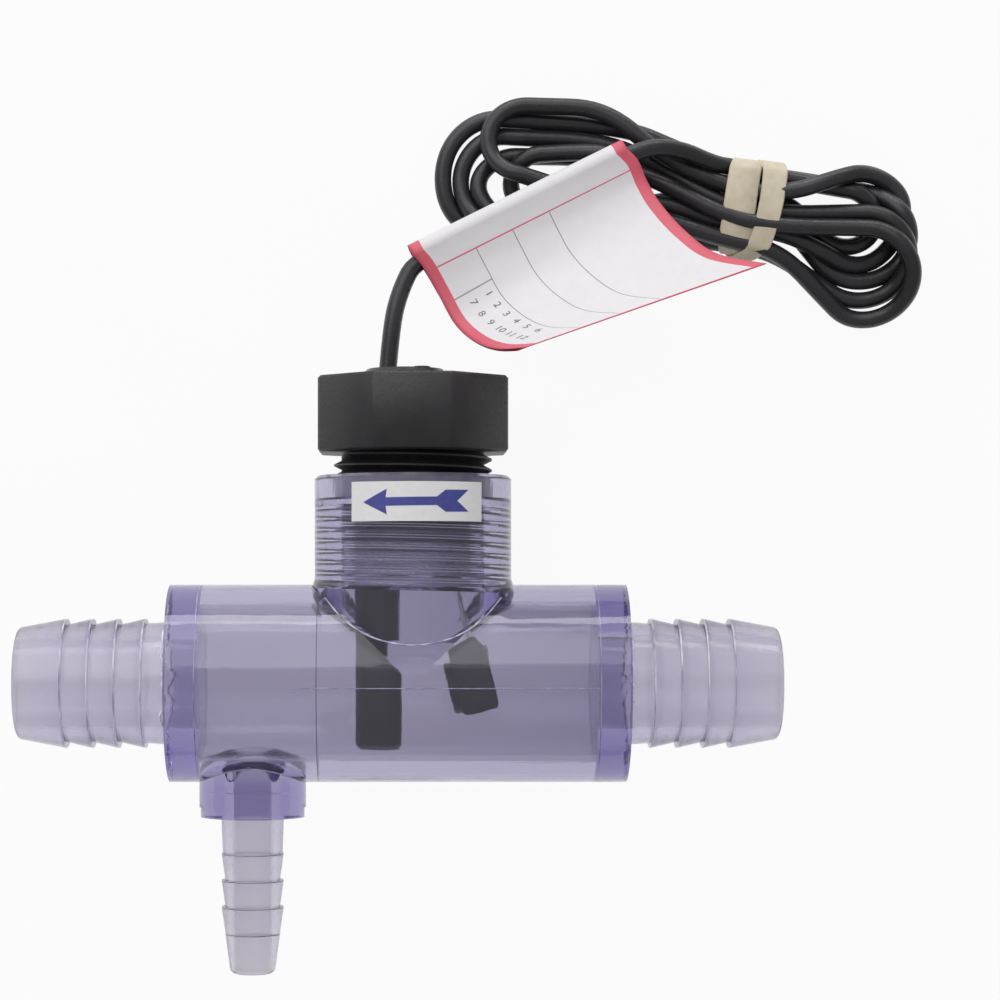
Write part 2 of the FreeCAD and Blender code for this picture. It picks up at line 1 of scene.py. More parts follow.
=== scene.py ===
# %% [markdown]
# # Paddle flow switch
# A clear plastic tee with hose barbs holds a black plug. Its stem and a small hinged paddle hang in the
# water's path. The plug's cable is wound into a banded hank and carries a folded paper flag.
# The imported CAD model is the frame: every place below comes from its boxes, in metres.

# %% The frame
import math

import bmesh
import bpy
import numpy as np
from mathutils import Matrix, Vector


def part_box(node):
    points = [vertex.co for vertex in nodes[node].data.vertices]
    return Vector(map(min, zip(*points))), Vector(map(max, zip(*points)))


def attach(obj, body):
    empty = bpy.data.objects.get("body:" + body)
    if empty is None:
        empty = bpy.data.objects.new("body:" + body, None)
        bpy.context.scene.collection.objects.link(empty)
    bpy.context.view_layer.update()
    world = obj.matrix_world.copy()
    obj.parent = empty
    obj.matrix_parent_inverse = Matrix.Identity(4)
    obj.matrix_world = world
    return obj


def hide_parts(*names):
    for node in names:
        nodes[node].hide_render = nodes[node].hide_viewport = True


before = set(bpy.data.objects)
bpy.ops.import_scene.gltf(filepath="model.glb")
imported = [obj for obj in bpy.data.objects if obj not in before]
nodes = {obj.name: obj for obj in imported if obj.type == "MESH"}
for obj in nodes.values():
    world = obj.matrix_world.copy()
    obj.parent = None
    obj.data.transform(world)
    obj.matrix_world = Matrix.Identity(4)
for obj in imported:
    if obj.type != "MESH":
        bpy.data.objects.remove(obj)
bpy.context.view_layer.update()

MM = 0.001
BODY = "switch_body"
scene = bpy.context.scene

# %% [markdown]
# Two lines carry nearly everything: the run (the water's way, along X) and the branch (along Y, where the
# plug goes in). The boxes of three nodes give them. The drain's own line comes later, from its barb's box.

# %% The two lines
tee_low, tee_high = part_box("tee_body")
barb_low, barb_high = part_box("inlet_barb")
plug_low, plug_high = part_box("switch_plug")
run_y = (barb_low.y + barb_high.y) / 2
run_z = (barb_low.z + barb_high.z) / 2
branch_x = (plug_low.x + plug_high.x) / 2
branch_r = tee_high.z - run_z - 0.05 * MM
print("run axis y %.2f z %.2f, branch axis x %.2f" % (run_y / MM, run_z / MM, branch_x / MM))


def spot(x, y, z=0.0):
    """A point in millimetres from where the branch's axis meets the run's."""
    return Vector((branch_x + x * MM, run_y + y * MM, run_z + z * MM))


# %% [markdown]
# The camera looks straight down on the switch, as it lies on a table. A long lens keeps the perspective
# gentle, and the shift frames the cable's hank without tilting the view.

# %% Camera
camera_data = bpy.data.cameras.new("camera")
camera_data.sensor_width = 36
camera_data.lens = 102.4
camera_data.shift_x = 0.092
camera_data.shift_y = 0.105
camera = bpy.data.objects.new("camera", camera_data)
camera.location = (1.7 * MM, 10.9 * MM, 496.7 * MM)
scene.collection.objects.link(camera)
scene.camera = camera

# %% [markdown]
# The cable is one length of 3 mm cord: up out of the potting, through the flag's fold, then wound in five
# turns that a rubber band pinches, and its bare end comes out under the flag. A smooth NURBS curve is the
# right tool, because a cable has no corners: it only needs points that pull it round. Every bend touches
# the straight runs before and after it, so there is no kink where they meet.

# %% Cable route
CABLE_D = 3 * MM
lead_route = [(-0.00203, 0.046445, 0.01665), (-0.0012, 0.0576, 0.01665), (0.0003, 0.0639, 0.0163),
              (0.0034, 0.0702, 0.0152), (0.0405, 0.0889, 0.012), (0.048, 0.0893, 0.009),
              (0.0546, 0.087, 0.0054)]
band_low, band_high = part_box("rubber_band")
band_mid = (band_low + band_high) / 2
BAND_TURN = math.radians(-8)
BAND_REACH = 5.0 * MM          # a strand is straight this far to either side of the band's middle
LANE = 3.05                    # strand to strand across the band, in millimetres
LAYERS = (2.45, 5.25)          # heights of the two layers in the band, in millimetres
ARC_POINTS = 7
LEAD_SHARE = 0.5               # a bend's lead point goes no further than this along a straight run


def lane(side, place, layer):
    """Where a strand leaves the band: side -1 is left, place counts lanes from the middle."""
    along = side * BAND_REACH
    across = place * LANE * MM
    c, s = math.cos(BAND_TURN), math.sin(BAND_TURN)
    return (band_mid.x + along * c - across * s, band_mid.y + along * s + across * c, LAYERS[layer] * MM)


def touch_angle(point, centre, radii, way):
    """Where a straight run between the point and the ellipse touches it; way -1 arrives and 1 leaves."""
    x, y = ((point[k] / MM - centre[k]) / radii[k] for k in (0, 1))
    return math.atan2(y, x) + way * math.acos(1 / math.hypot(x, y))


def lead_point(end, neighbour, target):
    """A point on the straight run that meets a bend's end, as far off as the bend's own neighbour."""
    share = min(LEAD_SHARE, math.dist(end, neighbour) / math.dist(end, target))
    return tuple(p + (q - p) * share for p, q in zip(end, target))


def bend(before, centre, radii, after, heights):
    """Control points clockwise round an ellipse, evenly set out, with a lead point on each straight run."""
    first = touch_angle(before, centre, radii, -1)
    last = touch_angle(after, centre, radii, 1)
    step = ((first - last) % (2 * math.pi)) / ARC_POINTS
    grow = 1 / math.cos(step / 2)
    points = []
    for i in range(ARC_POINTS):
        angle = first - (i + 0.5) * step
        t = i / (ARC_POINTS - 1) * (len(heights) - 1)
        low = min(int(t), len(heights) - 2)
        z = heights[low] + (heights[low + 1] - heights[low]) * (t - low)
        points.append(((centre[0] + radii[0] * grow * math.cos(angle)) * MM,
                       (centre[1] + radii[1] * grow * math.sin(angle)) * MM, z * MM))
    return [lead_point(points[0], points[1], before), *points, lead_point(points[-1], points[-2], after)]


# each turn: lane out and layer, right bend, its heights, lane back and layer, left bend, its heights, and
# the shoulders where its upper strand starts down to the band
turns = [
    ((2, 1), (77.9, 78.4), (5.4, 5.2), (4.0, 1.6, 1.5), (1, 0), (17.0, 85.9), (9.0, 9.4), (1.5, 1.5, 1.5),
     [(39.5, 93.8, 1.6), (48.6, 90.0, 2.0)]),
    ((2, 0), (79.8, 74.8), (8.3, 7.5), (3.0, 3.2, 1.5), (0, 0), (18.7, 84.4), (7.8, 8.2), (1.5, 1.8, 2.2),
     [(36.5, 92.0, 2.4), (46.5, 87.0, 3.4)]),
    ((0, 1), (80.6, 71.5), (7.7, 7.5), (5.0, 4.4, 1.5), (-2, 0), (20.4, 82.6), (6.9, 6.1), (2.0, 3.4, 3.0),
     [(34.0, 88.4, 3.6), (45.5, 83.6, 4.6)]),
    ((-1, 1), (81.4, 68.3), (7.5, 7.6), (6.6, 6.4, 2.2), (-2, 1), (22.4, 91.3), (6.8, 6.1), (6.2, 5.8, 5.2),
     [(36.0, 97.0, 5.8), (45.6, 88.6, 6.0)]),
]
last_turn = ((1, 1), (79.4, 77.0), (7.8, 7.7), (4.4, 1.5, 1.5), (-1, 0))
tail = [(46.0, 80.6, 2.4), (34.0, 79.4, 2.4)]
tail_bend = ((24.6, 84.2), (5.0, 4.8), (2.0, 3.2, 5.0))
tail_end = [(31.5, 89.2, 6.2), (36.4, 88.9, 7.0), (39.6, 85.6, 7.4), (38.9, 81.0, 7.6), (35.0, 78.0, 7.6),
            (30.8, 75.6, 7.55)]


def millimetres(points):
    return [tuple(c * MM for c in p) for p in points]


def out_and_back(out, centre, radii, heights, back):
    """Through the band, round the right-hand bend, and back through the band."""
    ends = (lane(-1, *out), lane(1, *out)), (lane(1, *back), lane(-1, *back))
    return [*ends[0], *bend(ends[0][1], centre, radii, ends[1][0], heights), *ends[1]]


hank = []
for out, right_c, right_r, right_z, back, left_c, left_r, left_z, shoulders in turns:
    hank += out_and_back(out, right_c, right_r, right_z, back)
    way_back = millimetres(shoulders)
    hank += bend(hank[-1], left_c, left_r, way_back[0], left_z) + way_back
hank += out_and_back(*last_turn) + millimetres(tail)
way_back = millimetres(tail_end)
hank += bend(hank[-1], *tail_bend[:2], way_back[0], tail_bend[2]) + way_back


# %% [markdown]
# Turns that cross would pass through each other. So the strands push each other off, in small steps, for a
# set number of rounds. Every sample of the line pushes the control points that shape it, by the share that
# each has there, and the moves are evened out along the cable to keep it supple. Some crossings stay a
# little sunk. The pass doesn't know of the rubber band, and two strands come out through it.

# %% Settled strands
CABLE_ORDER = 3
GAP = 2.9 * MM                 # centre line to centre line, a little under the cable's width
ROUNDS, PAIR_ROUNDS = 360, 6   # rounds of pushing, and how many use the same near pairs
SAMPLES = 10                   # on the line for each control point
STRIDE = 1.5                   # how much of the wanted move is made in a round
UPWARDS = 0.15 * MM            # strands part a little more up and down than sideways
HOLD, SINK = 0.004, 0.004 * MM  # each round, the pull back in plan and the fall


def spline_weights(count, samples):
    """How much each control point of a clamped quadratic spline weighs at each sample along it."""
    knots = np.concatenate(([0, 0], np.arange(count - 1), [count - 2, count - 2])).astype(float)
    at = np.linspace(0, count - 2 - 1e-9, samples)
    weights = [((at >= a) & (at < b)).astype(float) for a, b in zip(knots, knots[1:])]
    for order in range(1, CABLE_ORDER):
        raised = []
        for i in range(len(weights) - 1):
            left, right = knots[i + order] - knots[i], knots[i + order + 1] - knots[i + 1]
            up = (at - knots[i]) / left * weights[i] if left else 0
            down = (knots[i + order + 1] - at) / right * weights[i + 1] if right else 0
            raised.append(up + down)
        weights = raised
    return np.array(weights).T


def near_pairs(line):
    """Samples of the line that are close in space but not neighbours along it."""
    along = np.concatenate(([0], np.cumsum(np.linalg.norm(np.diff(line, axis=0), axis=1))))
    apart = np.linalg.norm(line[:, None] - line[None, :], axis=2)
    near = (apart < 1.3 * GAP) & (np.abs(along[:, None] - along[None, :]) > 3 * CABLE_D)
    return np.nonzero(np.triu(near))


def pushes(line, one, two):
    """How far each sample wants to move to get off the strands near it."""
    way = line[two] - line[one]
    way[:, 2] += np.where(way[:, 2] >= -0.1 * MM, UPWARDS, -UPWARDS)
    size = np.linalg.norm(way, axis=1)[:, None]
    push = way / size * np.maximum(GAP - size, 0) / 2
    total, count = np.zeros(line.shape), np.ones(len(line))
    for samples, share in ((two, push), (one, -push)):
        np.add.at(total, samples, share)
        np.add.at(count, samples, 1)
    return total / np.sqrt(count)[:, None]


def settled(points, first):
    """The control points moved so that strands share less of one place; those before first stay."""
    start = np.array(points)
    points = start.copy()
    weights = spline_weights(len(points), SAMPLES * len(points))
    share = weights.T / np.maximum(weights.sum(axis=0)[:, None], 1e-9)
    for turn in range(ROUNDS):
        line = weights @ points
        if turn % PAIR_ROUNDS == 0:
            one, two = near_pairs(line)
        move = share @ pushes(line, one, two)
        for _ in range(2):
            move[1:-1] = (move[:-2] + 2 * move[1:-1] + move[2:]) / 4
        move[:first] = 0
        points += STRIDE * move
        points[first:, :2] += HOLD * (start[first:, :2] - points[first:, :2])
        points[first:, 2] = np.maximum(points[first:, 2] - SINK, CABLE_D / 2)
        points[first:, 0] = np.minimum(points[first:, 0], start[:, 0].max())
    return [tuple(float(c) for c in p) for p in points]


route = settled(lead_route + hank, len(lead_route))
print("highest strand", round(max(p[2] for p in route[len(lead_route):]) / MM, 1), "mm")

# %% [markdown]
# The settled points now shape the cable itself: one curve with a round section and closed ends.

# %% The cable's curve
cable_curve = bpy.data.curves.new("cable", "CURVE")
cable_curve.dimensions = "3D"
spline = cable_curve.splines.new("NURBS")
spline.points.add(len(route) - 1)
for point, place in zip(spline.points, route):
    point.co = (*place, 1)
    point.radius = CABLE_D / 2
spline.order_u = CABLE_ORDER
spline.use_endpoint_u = True
spline.resolution_u = 8
cable_curve.bevel_depth = 1.0
cable_curve.bevel_resolution = 4
cable_curve.use_fill_caps = True
cable = bpy.data.objects.new("cable", cable_curve)
scene.collection.objects.link(cable)


def centreline(curve):
    """The smooth line that a bevelled curve follows, as points."""
    bare = curve.copy()
    bare.bevel_depth = 0
    holder = bpy.data.objects.new("line", bare)
    line = bpy.data.meshes.new_from_object(holder)
    points = [v.co.copy() for v in line.vertices]
    bpy.data.objects.remove(holder)
    return points


cable_line = centreline(cable_curve)
cable_length = sum((b - a).length for a, b in zip(cable_line, cable_line[1:]))
print("cable %.0f mm long, %d control points" % (cable_length / MM, len(route)))
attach(cable, BODY)
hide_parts("cable_lead", "cable_hank")


# %% [markdown]
# Every finish is a Principled shader whose roughness, bump and tone come from noise in object coordinates,
# so nothing on the switch is one flat colour. A few small helpers keep each finish and each tree short.

# %% Node helpers
def adder(tree):
    """A function that adds a node to the tree.

    Inputs are given in order, or by name with _ for a space. Each is a value or the socket that feeds it.
    """
    def add(kind, *values, settings=None, **inputs):
        node = tree.nodes.new(kind)
        for setting, choice in (settings or {}).items():
            setattr(node, setting, choice)
        named = [(name.replace("_", " "), value) for name, value in inputs.items()]
        for key, value in [*enumerate(values), *named]:
            if isinstance(value, bpy.types.NodeSocket):
                tree.links.new(value, node.inputs[key])
            elif value is not None:
                node.inputs[key].default_value = value
        return node
    return add


def maths(add, operation, *values):
    return add("ShaderNodeMath", *values, settings={"operation": operation}).outputs[0]


def blend(add, share, colour, other):
    """A share of the other colour mixed in; each colour is a socket or three values."""
    pair = [c if isinstance(c, bpy.types.NodeSocket) else (*c, 1) for c in (colour, other)]
    return add("ShaderNodeMix", share, *[None] * 5, *pair, settings={"data_type": "RGBA"}).outputs[2]


def show(made, shader_socket):
    tree = made.node_tree
    tree.links.new(shader_socket, tree.nodes["Material Output"].inputs["Surface"])


# %% Finish helpers
TONE_SPAN, ROUGH_SPAN = (0.35, 0.65), (0.3, 0.7)      # the noise that counts as none and as all


def finish(name, colour, roughness, **sockets):
    """A new material; other sockets of the shader are given by name, with _ for a space."""
    made = bpy.data.materials.new(name)
    made.use_nodes = True
    shader = made.node_tree.nodes["Principled BSDF"]
    shader.inputs["Base Color"].default_value = (*colour, 1)
    shader.inputs["Roughness"].default_value = roughness
    for socket, value in sockets.items():
        shader.inputs[socket.replace("_", " ")].default_value = value
    return made


def grain(made, scale, bump=0.0, tone=None, rough=None, stretch=(1, 1, 1), detail=4):
    """Noise of scale cells per metre: bump in metres, tone as two colours, rough as two values."""
    tree = made.node_tree
    add, link = adder(tree), tree.links.new
    shader = tree.nodes["Principled BSDF"].inputs
    place = add("ShaderNodeTexCoord").outputs["Object"]
    mapped = add("ShaderNodeMapping", Vector=place, Scale=stretch).outputs["Vector"]
    noise = add("ShaderNodeTexNoise", Vector=mapped, Scale=scale, Detail=detail).outputs["Fac"]
    if tone:
        ramp = add("ShaderNodeValToRGB", Fac=noise)
        for element, position, colour in zip(ramp.color_ramp.elements, TONE_SPAN, tone):
            element.position = position
            element.color = (*colour, 1)
        link(ramp.outputs["Color"], shader["Base Color"])
    if rough:
        span = add("ShaderNodeMapRange", noise, *ROUGH_SPAN, *rough)
        link(span.outputs["Result"], shader["Roughness"])
    if bump:
        before = [one.from_socket for one in shader["Normal"].links] or [None]
        relief = add("ShaderNodeBump", Distance=bump, Height=noise, Normal=before[0])
        link(relief.outputs["Normal"], shader["Normal"])
    return made


def screen(r, g, b):
    """A colour given as it looks on a screen, 0 to 255, for a shader."""
    return tuple((c / 255 / 12.92) if c < 11 else ((c / 255 + 0.055) / 1.055) ** 2.4 for c in (r, g, b))


# %% [markdown]
# The tee and barbs are one clear PVC with a violet tint. Two effects make its look: each surface takes a
# little light, and the plastic absorbs more where the way through it is long, so solid flanges go dark
# violet while thin walls stay pale. Shadow rays pass straight through, so that lamps light what is inside.

# %% Clear plastic
clear_pvc = finish("clear_pvc", (0.62, 0.61, 0.68), 0.03, IOR=1.53, Transmission_Weight=0.965)
grain(clear_pvc, 90, bump=0.00010, detail=2)
grain(clear_pvc, 700, bump=0.000008, rough=(0.02, 0.09))


def let_lamps_through(made):
    add = adder(made.node_tree)
    plastic = made.node_tree.nodes["Principled BSDF"].outputs["BSDF"]
    shadow = add("ShaderNodeLightPath").outputs["Is Shadow Ray"]
    clear = add("ShaderNodeBsdfTransparent").outputs["BSDF"]
    show(made, add("ShaderNodeMixShader", shadow, plastic, clear).outputs["Shader"])


def absorb(made, colour, density):
    tree = made.node_tree
    volume = adder(tree)("ShaderNodeVolumeAbsorption", Color=(*colour, 1), Density=density)
    tree.links.new(volume.outputs["Volume"], tree.nodes["Material Output"].inputs["Volume"])


let_lamps_through(clear_pvc)
absorb(clear_pvc, (0.31, 0.22, 0.68), 54)


def mould_zones(made, edges, haze, body, inlet_end, boss, barbs):
    """The barbs beyond their flanges come from a duller, greyer mould; the tee darkens towards its inlet end
    and at the drain's boss.

    The edges are pairs of places where a zone begins and is reached in full.
    """
    tree = made.node_tree
    add, link = adder(tree), tree.links.new
    shader = tree.nodes["Principled BSDF"].inputs
    place = add("ShaderNodeSeparateXYZ", add("ShaderNodeTexCoord").outputs["Object"]).outputs
    from_middle = maths(add, "ABSOLUTE", place["X"])
    along = {"big barbs": from_middle, "drain barb": place["Y"], "boss": place["Y"], "inlet end": place["X"]}
    zone = {name: add("ShaderNodeMapRange", along[name], *edge).outputs["Result"]
            for name, edge in edges.items()}
    on_barb = maths(add, "MAXIMUM", zone["big barbs"], zone["drain barb"])
    tee = blend(add, zone["boss"], blend(add, zone["inlet end"], body, inlet_end), boss)
    before = shader["Roughness"].links[0].from_socket
    link(blend(add, on_barb, tee, barbs), shader["Base Color"])
    link(maths(add, "MULTIPLY_ADD", on_barb, haze, before), shader["Roughness"])


mould_zones(clear_pvc, {"big barbs": (38.4 * MM, 38.8 * MM), "drain barb": (-24.9 * MM, -25.3 * MM),
                        "boss": (-17.6 * MM, -19.6 * MM), "inlet end": (0.0, 30 * MM)},
            haze=0.13, body=(0.62, 0.605, 0.675), inlet_end=(0.565, 0.55, 0.63), boss=(0.53, 0.50, 0.64),
            barbs=(0.78, 0.765, 0.80))

# %% [markdown]
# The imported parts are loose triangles. For plastic that bends light, a copy with its doubles merged and
# smooth shading between shallow edges is better, because every facet would show as a stripe.

# %% Smooth copies
ON_AXIS = 1e-7                    # metres; a face this near an axis has no direction away from it
NOT_TURNED = 0.12                 # a face that fits no axis better than this stays flat


def smooth(mesh, angle=28):
    for polygon in mesh.polygons:
        polygon.use_smooth = True
    mesh.set_sharp_from_angle(angle=math.radians(angle))


def turned_normals(mesh, axes):
    """Exact smooth normals for forms turned round an axis, also where a weld or a cut left long slivers.

    Each face takes the axis that it was turned round, and its normal is swung to each of its corners.
    """
    normals = []
    for polygon in mesh.polygons:
        places = [mesh.vertices[i].co for i in polygon.vertices]
        best = None
        for origin, axis in axes:
            split = [(p - origin, (p - origin).dot(axis)) for p in places]
            radials = [offset - axis * along for offset, along in split]
            middle = sum(radials, Vector()) / len(radials)
            if middle.length < ON_AXIS or min(r.length for r in radials) < ON_AXIS:
                continue
            out = middle.normalized()
            level = [polygon.normal.dot(out) * r.length + polygon.normal.dot(axis) * along
                     for r, (offset, along) in zip(radials, split)]
            size = max((a - b).length for a in places for b in places)
            error = (max(level) - min(level)) / size + abs(polygon.normal.dot(axis.cross(out)))
            if best is None or error < best[0]:
                best = (error, axis, out, radials)
        error, axis, out, radials = best
        for radial in radials:
            if error > NOT_TURNED:
                normals.append(tuple(polygon.normal))
                continue
            here = radial.normalized()
            swing = math.atan2(axis.dot(out.cross(here)), out.dot(here))
            normals.append(tuple(Matrix.Rotation(swing, 3, axis) @ polygon.normal))
    for polygon in mesh.polygons:
        polygon.use_smooth = True
    mesh.normals_split_custom_set(normals)


X_AXIS, Y_AXIS = Vector((1, 0, 0)), Vector((0, 1, 0))
run_axis = (Vector((0, run_y, run_z)), X_AXIS)
branch_axis = (Vector((branch_x, run_y, run_z)), Y_AXIS)


def as_mesh(work, name):
    mesh = bpy.data.meshes.new(name)
    work.to_mesh(mesh)
    work.free()
    return mesh


def merged_copy(node, name):
    work = bmesh.new()
    work.from_mesh(nodes[node].data)
    bmesh.ops.remove_doubles(work, verts=work.verts, dist=2e-6)
    return as_mesh(work, name)


def lofted(rows, name, closed=True):
    """A tube through rows of points, which meets its own start or has its two ends capped."""
    work = bmesh.new()
    rings = [[work.verts.new(p) for p in row] for row in rows]
    for a, b in zip(rings, rings[1:] + rings[:closed]):
        for j in range(len(a)):
            work.faces.new((a[j], b[j], b[j - 1], a[j - 1]))
    if not closed:
        work.faces.new(rings[0])
        work.faces.new(rings[-1][::-1])
    bmesh.ops.recalc_face_normals(work, faces=work.faces)
    return as_mesh(work, name)


def evaluated(holder):
    """The object's mesh with its modifiers applied; the object is dropped."""
    depsgraph = bpy.context.evaluated_depsgraph_get()
    mesh = bpy.data.meshes.new_from_object(holder.evaluated_get(depsgraph), depsgraph=depsgraph)
    bpy.data.objects.remove(holder)
    return mesh


def piece(name, mesh, slot, made, *stands_for):
    """An object of the mesh, with its finish, that rides on the switch's body."""
    mesh.materials.clear()
    mesh.materials.append(made)
    built = bpy.data.objects.new(name, mesh)
    scene.collection.objects.link(built)
    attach(built, BODY)
    if stands_for:
        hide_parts(*stands_for)
    print(name, len(mesh.polygons), "faces")
    return built


def join(*meshes):
    work = bmesh.new()
    for mesh in meshes:
        work.from_mesh(mesh)
    work.to_mesh(meshes[0])
    work.free()
    return meshes[0]


def combine(mesh, other, how, name):
    """The mesh with the other one cut from it or welded to it."""
    body = bpy.data.objects.new(name, mesh)
    tool = bpy.data.objects.new(name + "_tool", other)
    for made in (body, tool):
        scene.collection.objects.link(made)
    boolean = body.modifiers.new("combine", "BOOLEAN")
    boolean.operation = how
    boolean.solver = "EXACT"
    boolean.object = tool
    result = evaluated(body)
    bpy.data.objects.remove(tool)
    return result


# %% [markdown]
# Solvent cement melts a barb into its socket, so light passes the joint as if it were one piece. The packed
# parts keep a gap of 0.04 mm there. A spigot is therefore swelled into its socket before the two are welded.

# %% Cemented joints
WELD = 0.07 * MM
SAME = 0.02 * MM                  # places nearer than this count as one
BUTT = 0.3 * MM                   # how far a spigot still reaches in, behind its flange's face


def seated(node, axis, spigot_r, centre, tip_side):
    """A barb whose flange face and spigot reach a little into the part that it is cemented to."""
    mesh = merged_copy(node, "seated_" + node)
    across = [i for i in range(3) if i != axis]
    radii = [Vector([v.co[i] - centre[i] for i in across]).length for v in mesh.vertices]
    widest = max(radii) - 0.05 * MM
    face = min(tip_side * v.co[axis] for v, r in zip(mesh.vertices, radii) if r > widest)
    for vert, r in zip(mesh.vertices, radii):
        from_face = tip_side * vert.co[axis] - face
        if abs(r - spigot_r) < SAME and from_face < 0.1 * MM:
            for i in across:
                vert.co[i] = centre[i] + (vert.co[i] - centre[i]) * (spigot_r + WELD) / spigot_r
        if abs(from_face) < SAME:
            vert.co[axis] -= tip_side * WELD
    print(node, "flange at %.2f mm" % (tip_side * face / MM))
    return mesh


def short_spigot(mesh, tip_side, face):
    """The cement has melted the spigot's end flush with the chamber's wall."""
    for vert in mesh.vertices:
        if tip_side * vert.co.x < face - 0.5 * MM:
            vert.co.x = tip_side * (face - BUTT)


SPIGOT_R, DRAIN_SPIGOT_R = 13.31 * MM, 4.6 * MM
FLANGE_IN = 33.25 * MM
drain_low, drain_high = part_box("drain_barb")
run_centre = (0, run_y, run_z)
drain_centre = ((drain_low.x + drain_high.x) / 2, 0, (drain_low.z + drain_high.z) / 2)
inlet = seated("inlet_barb", 0, SPIGOT_R, run_centre, 1)
outlet = seated("outlet_barb", 0, SPIGOT_R, run_centre, -1)
drain = seated("drain_barb", 1, DRAIN_SPIGOT_R, drain_centre, -1)
short_spigot(inlet, 1, FLANGE_IN)
short_spigot(outlet, -1, FLANGE_IN)
outlet_mesh = combine(merged_copy("outlet_coupling", "clear_outlet"), outlet, "UNION", "clear_outlet")
outlet_mesh = combine(outlet_mesh, drain, "UNION", "clear_outlet")
drain_axis = (Vector((drain_centre[0], run_y, run_z)), Y_AXIS)
turned_normals(outlet_mesh, [run_axis, drain_axis, branch_axis])
piece("clear_outlet", outlet_mesh, "clear_pvc", clear_pvc, "outlet_coupling", "outlet_barb",
      "drain_barb")

# %% [markdown]
# A pipe thread is a V that climbs a helix. A spiral curve swept with a small profile gives both halves of
# it: the ridge on the plug, and the cutter that leaves the groove in the branch. One Geometry Nodes tree
# makes them, with the thread's sizes as its inputs.

# %% Trees that grow a mesh
KINDS = {float: "NodeSocketFloat", int: "NodeSocketInt"}


def grower(name, **inputs):
    """A new tree, the function that adds its nodes, and its inputs' sockets; inputs come with defaults."""
    tree = bpy.data.node_groups.new(name, "GeometryNodeTree")
    tree.interface.new_socket("Geometry", in_out="OUTPUT", socket_type="NodeSocketGeometry")
    for key, value in {**inputs, "Finish": None}.items():
        socket = tree.interface.new_socket(key.replace("_", " "), in_out="INPUT",
                                           socket_type=KINDS.get(type(value), "NodeSocketMaterial"))
        socket.default_value = value
    add = adder(tree)
    return tree, add, add("NodeGroupInput").outputs


def swept_ring(add, curve, profile, **inputs):
    return add("GeometryNodeCurveToMesh", Curve=curve, Profile_Curve=profile, **inputs).outputs["Mesh"]


def circle(add, resolution, radius):
    return add("GeometryNodeCurvePrimitiveCircle", Resolution=resolution, Radius=radius).outputs["Curve"]


def give_out(add, geometry, made):
    """The end of a tree: its geometry made real, with its finish."""
    real = add("GeometryNodeRealizeInstances", Geometry=geometry).outputs["Geometry"]
    coated = add("GeometryNodeSetMaterial", Geometry=real, Material=made)
    add("NodeGroupOutput", Geometry=coated.outputs["Geometry"])


def grown(tree, name, made, **values):
    """The tree's result as a plain mesh."""
    holder = bpy.data.objects.new(name, bpy.data.meshes.new(name))
    scene.collection.objects.link(holder)
    modifier = holder.modifiers.new("grow", "NODES")
    modifier.node_group = tree
    identifiers = {item.name: item.identifier for item in tree.interface.items_tree}
    for key, value in {**values, "Finish": made}.items():
        modifier[identifiers[key.replace("_", " ")]] = value
    return evaluated(holder)


# %% Thread tree
CREST = 0.16                      # the flat top of the ridge, as a share of its foot


def thread_nodes():
    tree, add, given = grower("thread", Base_Radius=0.012, Crest_Rise=0.001, Half_Width=0.0008,
                              Pitch=0.0018, Turns=6.0)
    height = maths(add, "MULTIPLY", given["Pitch"], given["Turns"])
    spiral = add("GeometryNodeCurveSpiral", Resolution=64, Rotations=given["Turns"], Height=height,
                 Start_Radius=given["Base Radius"], End_Radius=given["Base Radius"])
    upright = add("GeometryNodeSetCurveNormal", Curve=spiral.outputs["Curve"], settings={"mode": "Z_UP"})
    outwards = maths(add, "MULTIPLY", given["Crest Rise"], -1)      # a swept profile's X points at the axis
    corners = {}
    for i, (width, rise) in enumerate(((1, None), (CREST, outwards), (-CREST, outwards), (-1, None)), 1):
        y = maths(add, "MULTIPLY", given["Half Width"], width)
        corners["Point_%d" % i] = add("ShaderNodeCombineXYZ", X=rise, Y=y).outputs["Vector"]
    profile = add("GeometryNodeCurvePrimitiveQuadrilateral", settings={"mode": "POINTS"}, **corners)
    ridge = swept_ring(add, upright.outputs["Curve"], profile.outputs["Curve"], Fill_Caps=True)
    give_out(add, ridge, given["Finish"])
    return tree


thread_tree = thread_nodes()


def outward(mesh):
    work = bmesh.new()
    work.from_mesh(mesh)
    bmesh.ops.remove_doubles(work, verts=work.verts, dist=1e-6)
    bmesh.ops.recalc_face_normals(work, faces=work.faces)
    work.to_mesh(mesh)
    work.free()


# %% Threads in place
PITCH = 1.814 * MM
THREAD_LOW = 15.9               # first groove, above the run's axis, in millimetres


def thread(name, made, base, rise, half, low, high):
    """A thread on the branch's axis, in millimetres; both halves share one helix, so they fit."""
    start = THREAD_LOW + math.ceil((low - THREAD_LOW) / (PITCH / MM)) * PITCH / MM
    turns_here = (high - start) / (PITCH / MM)
    mesh = grown(thread_tree, name, made, Base_Radius=base * MM, Crest_Rise=rise * MM,
                 Half_Width=half * MM, Pitch=PITCH, Turns=turns_here)
    lay = Matrix(((1, 0, 0), (0, 0, 1), (0, -1, 0))).to_4x4()
    mesh.transform(Matrix.Translation(spot(0, start)) @ lay)
    outward(mesh)
    print(name, "%.1f turns" % turns_here)
    return mesh


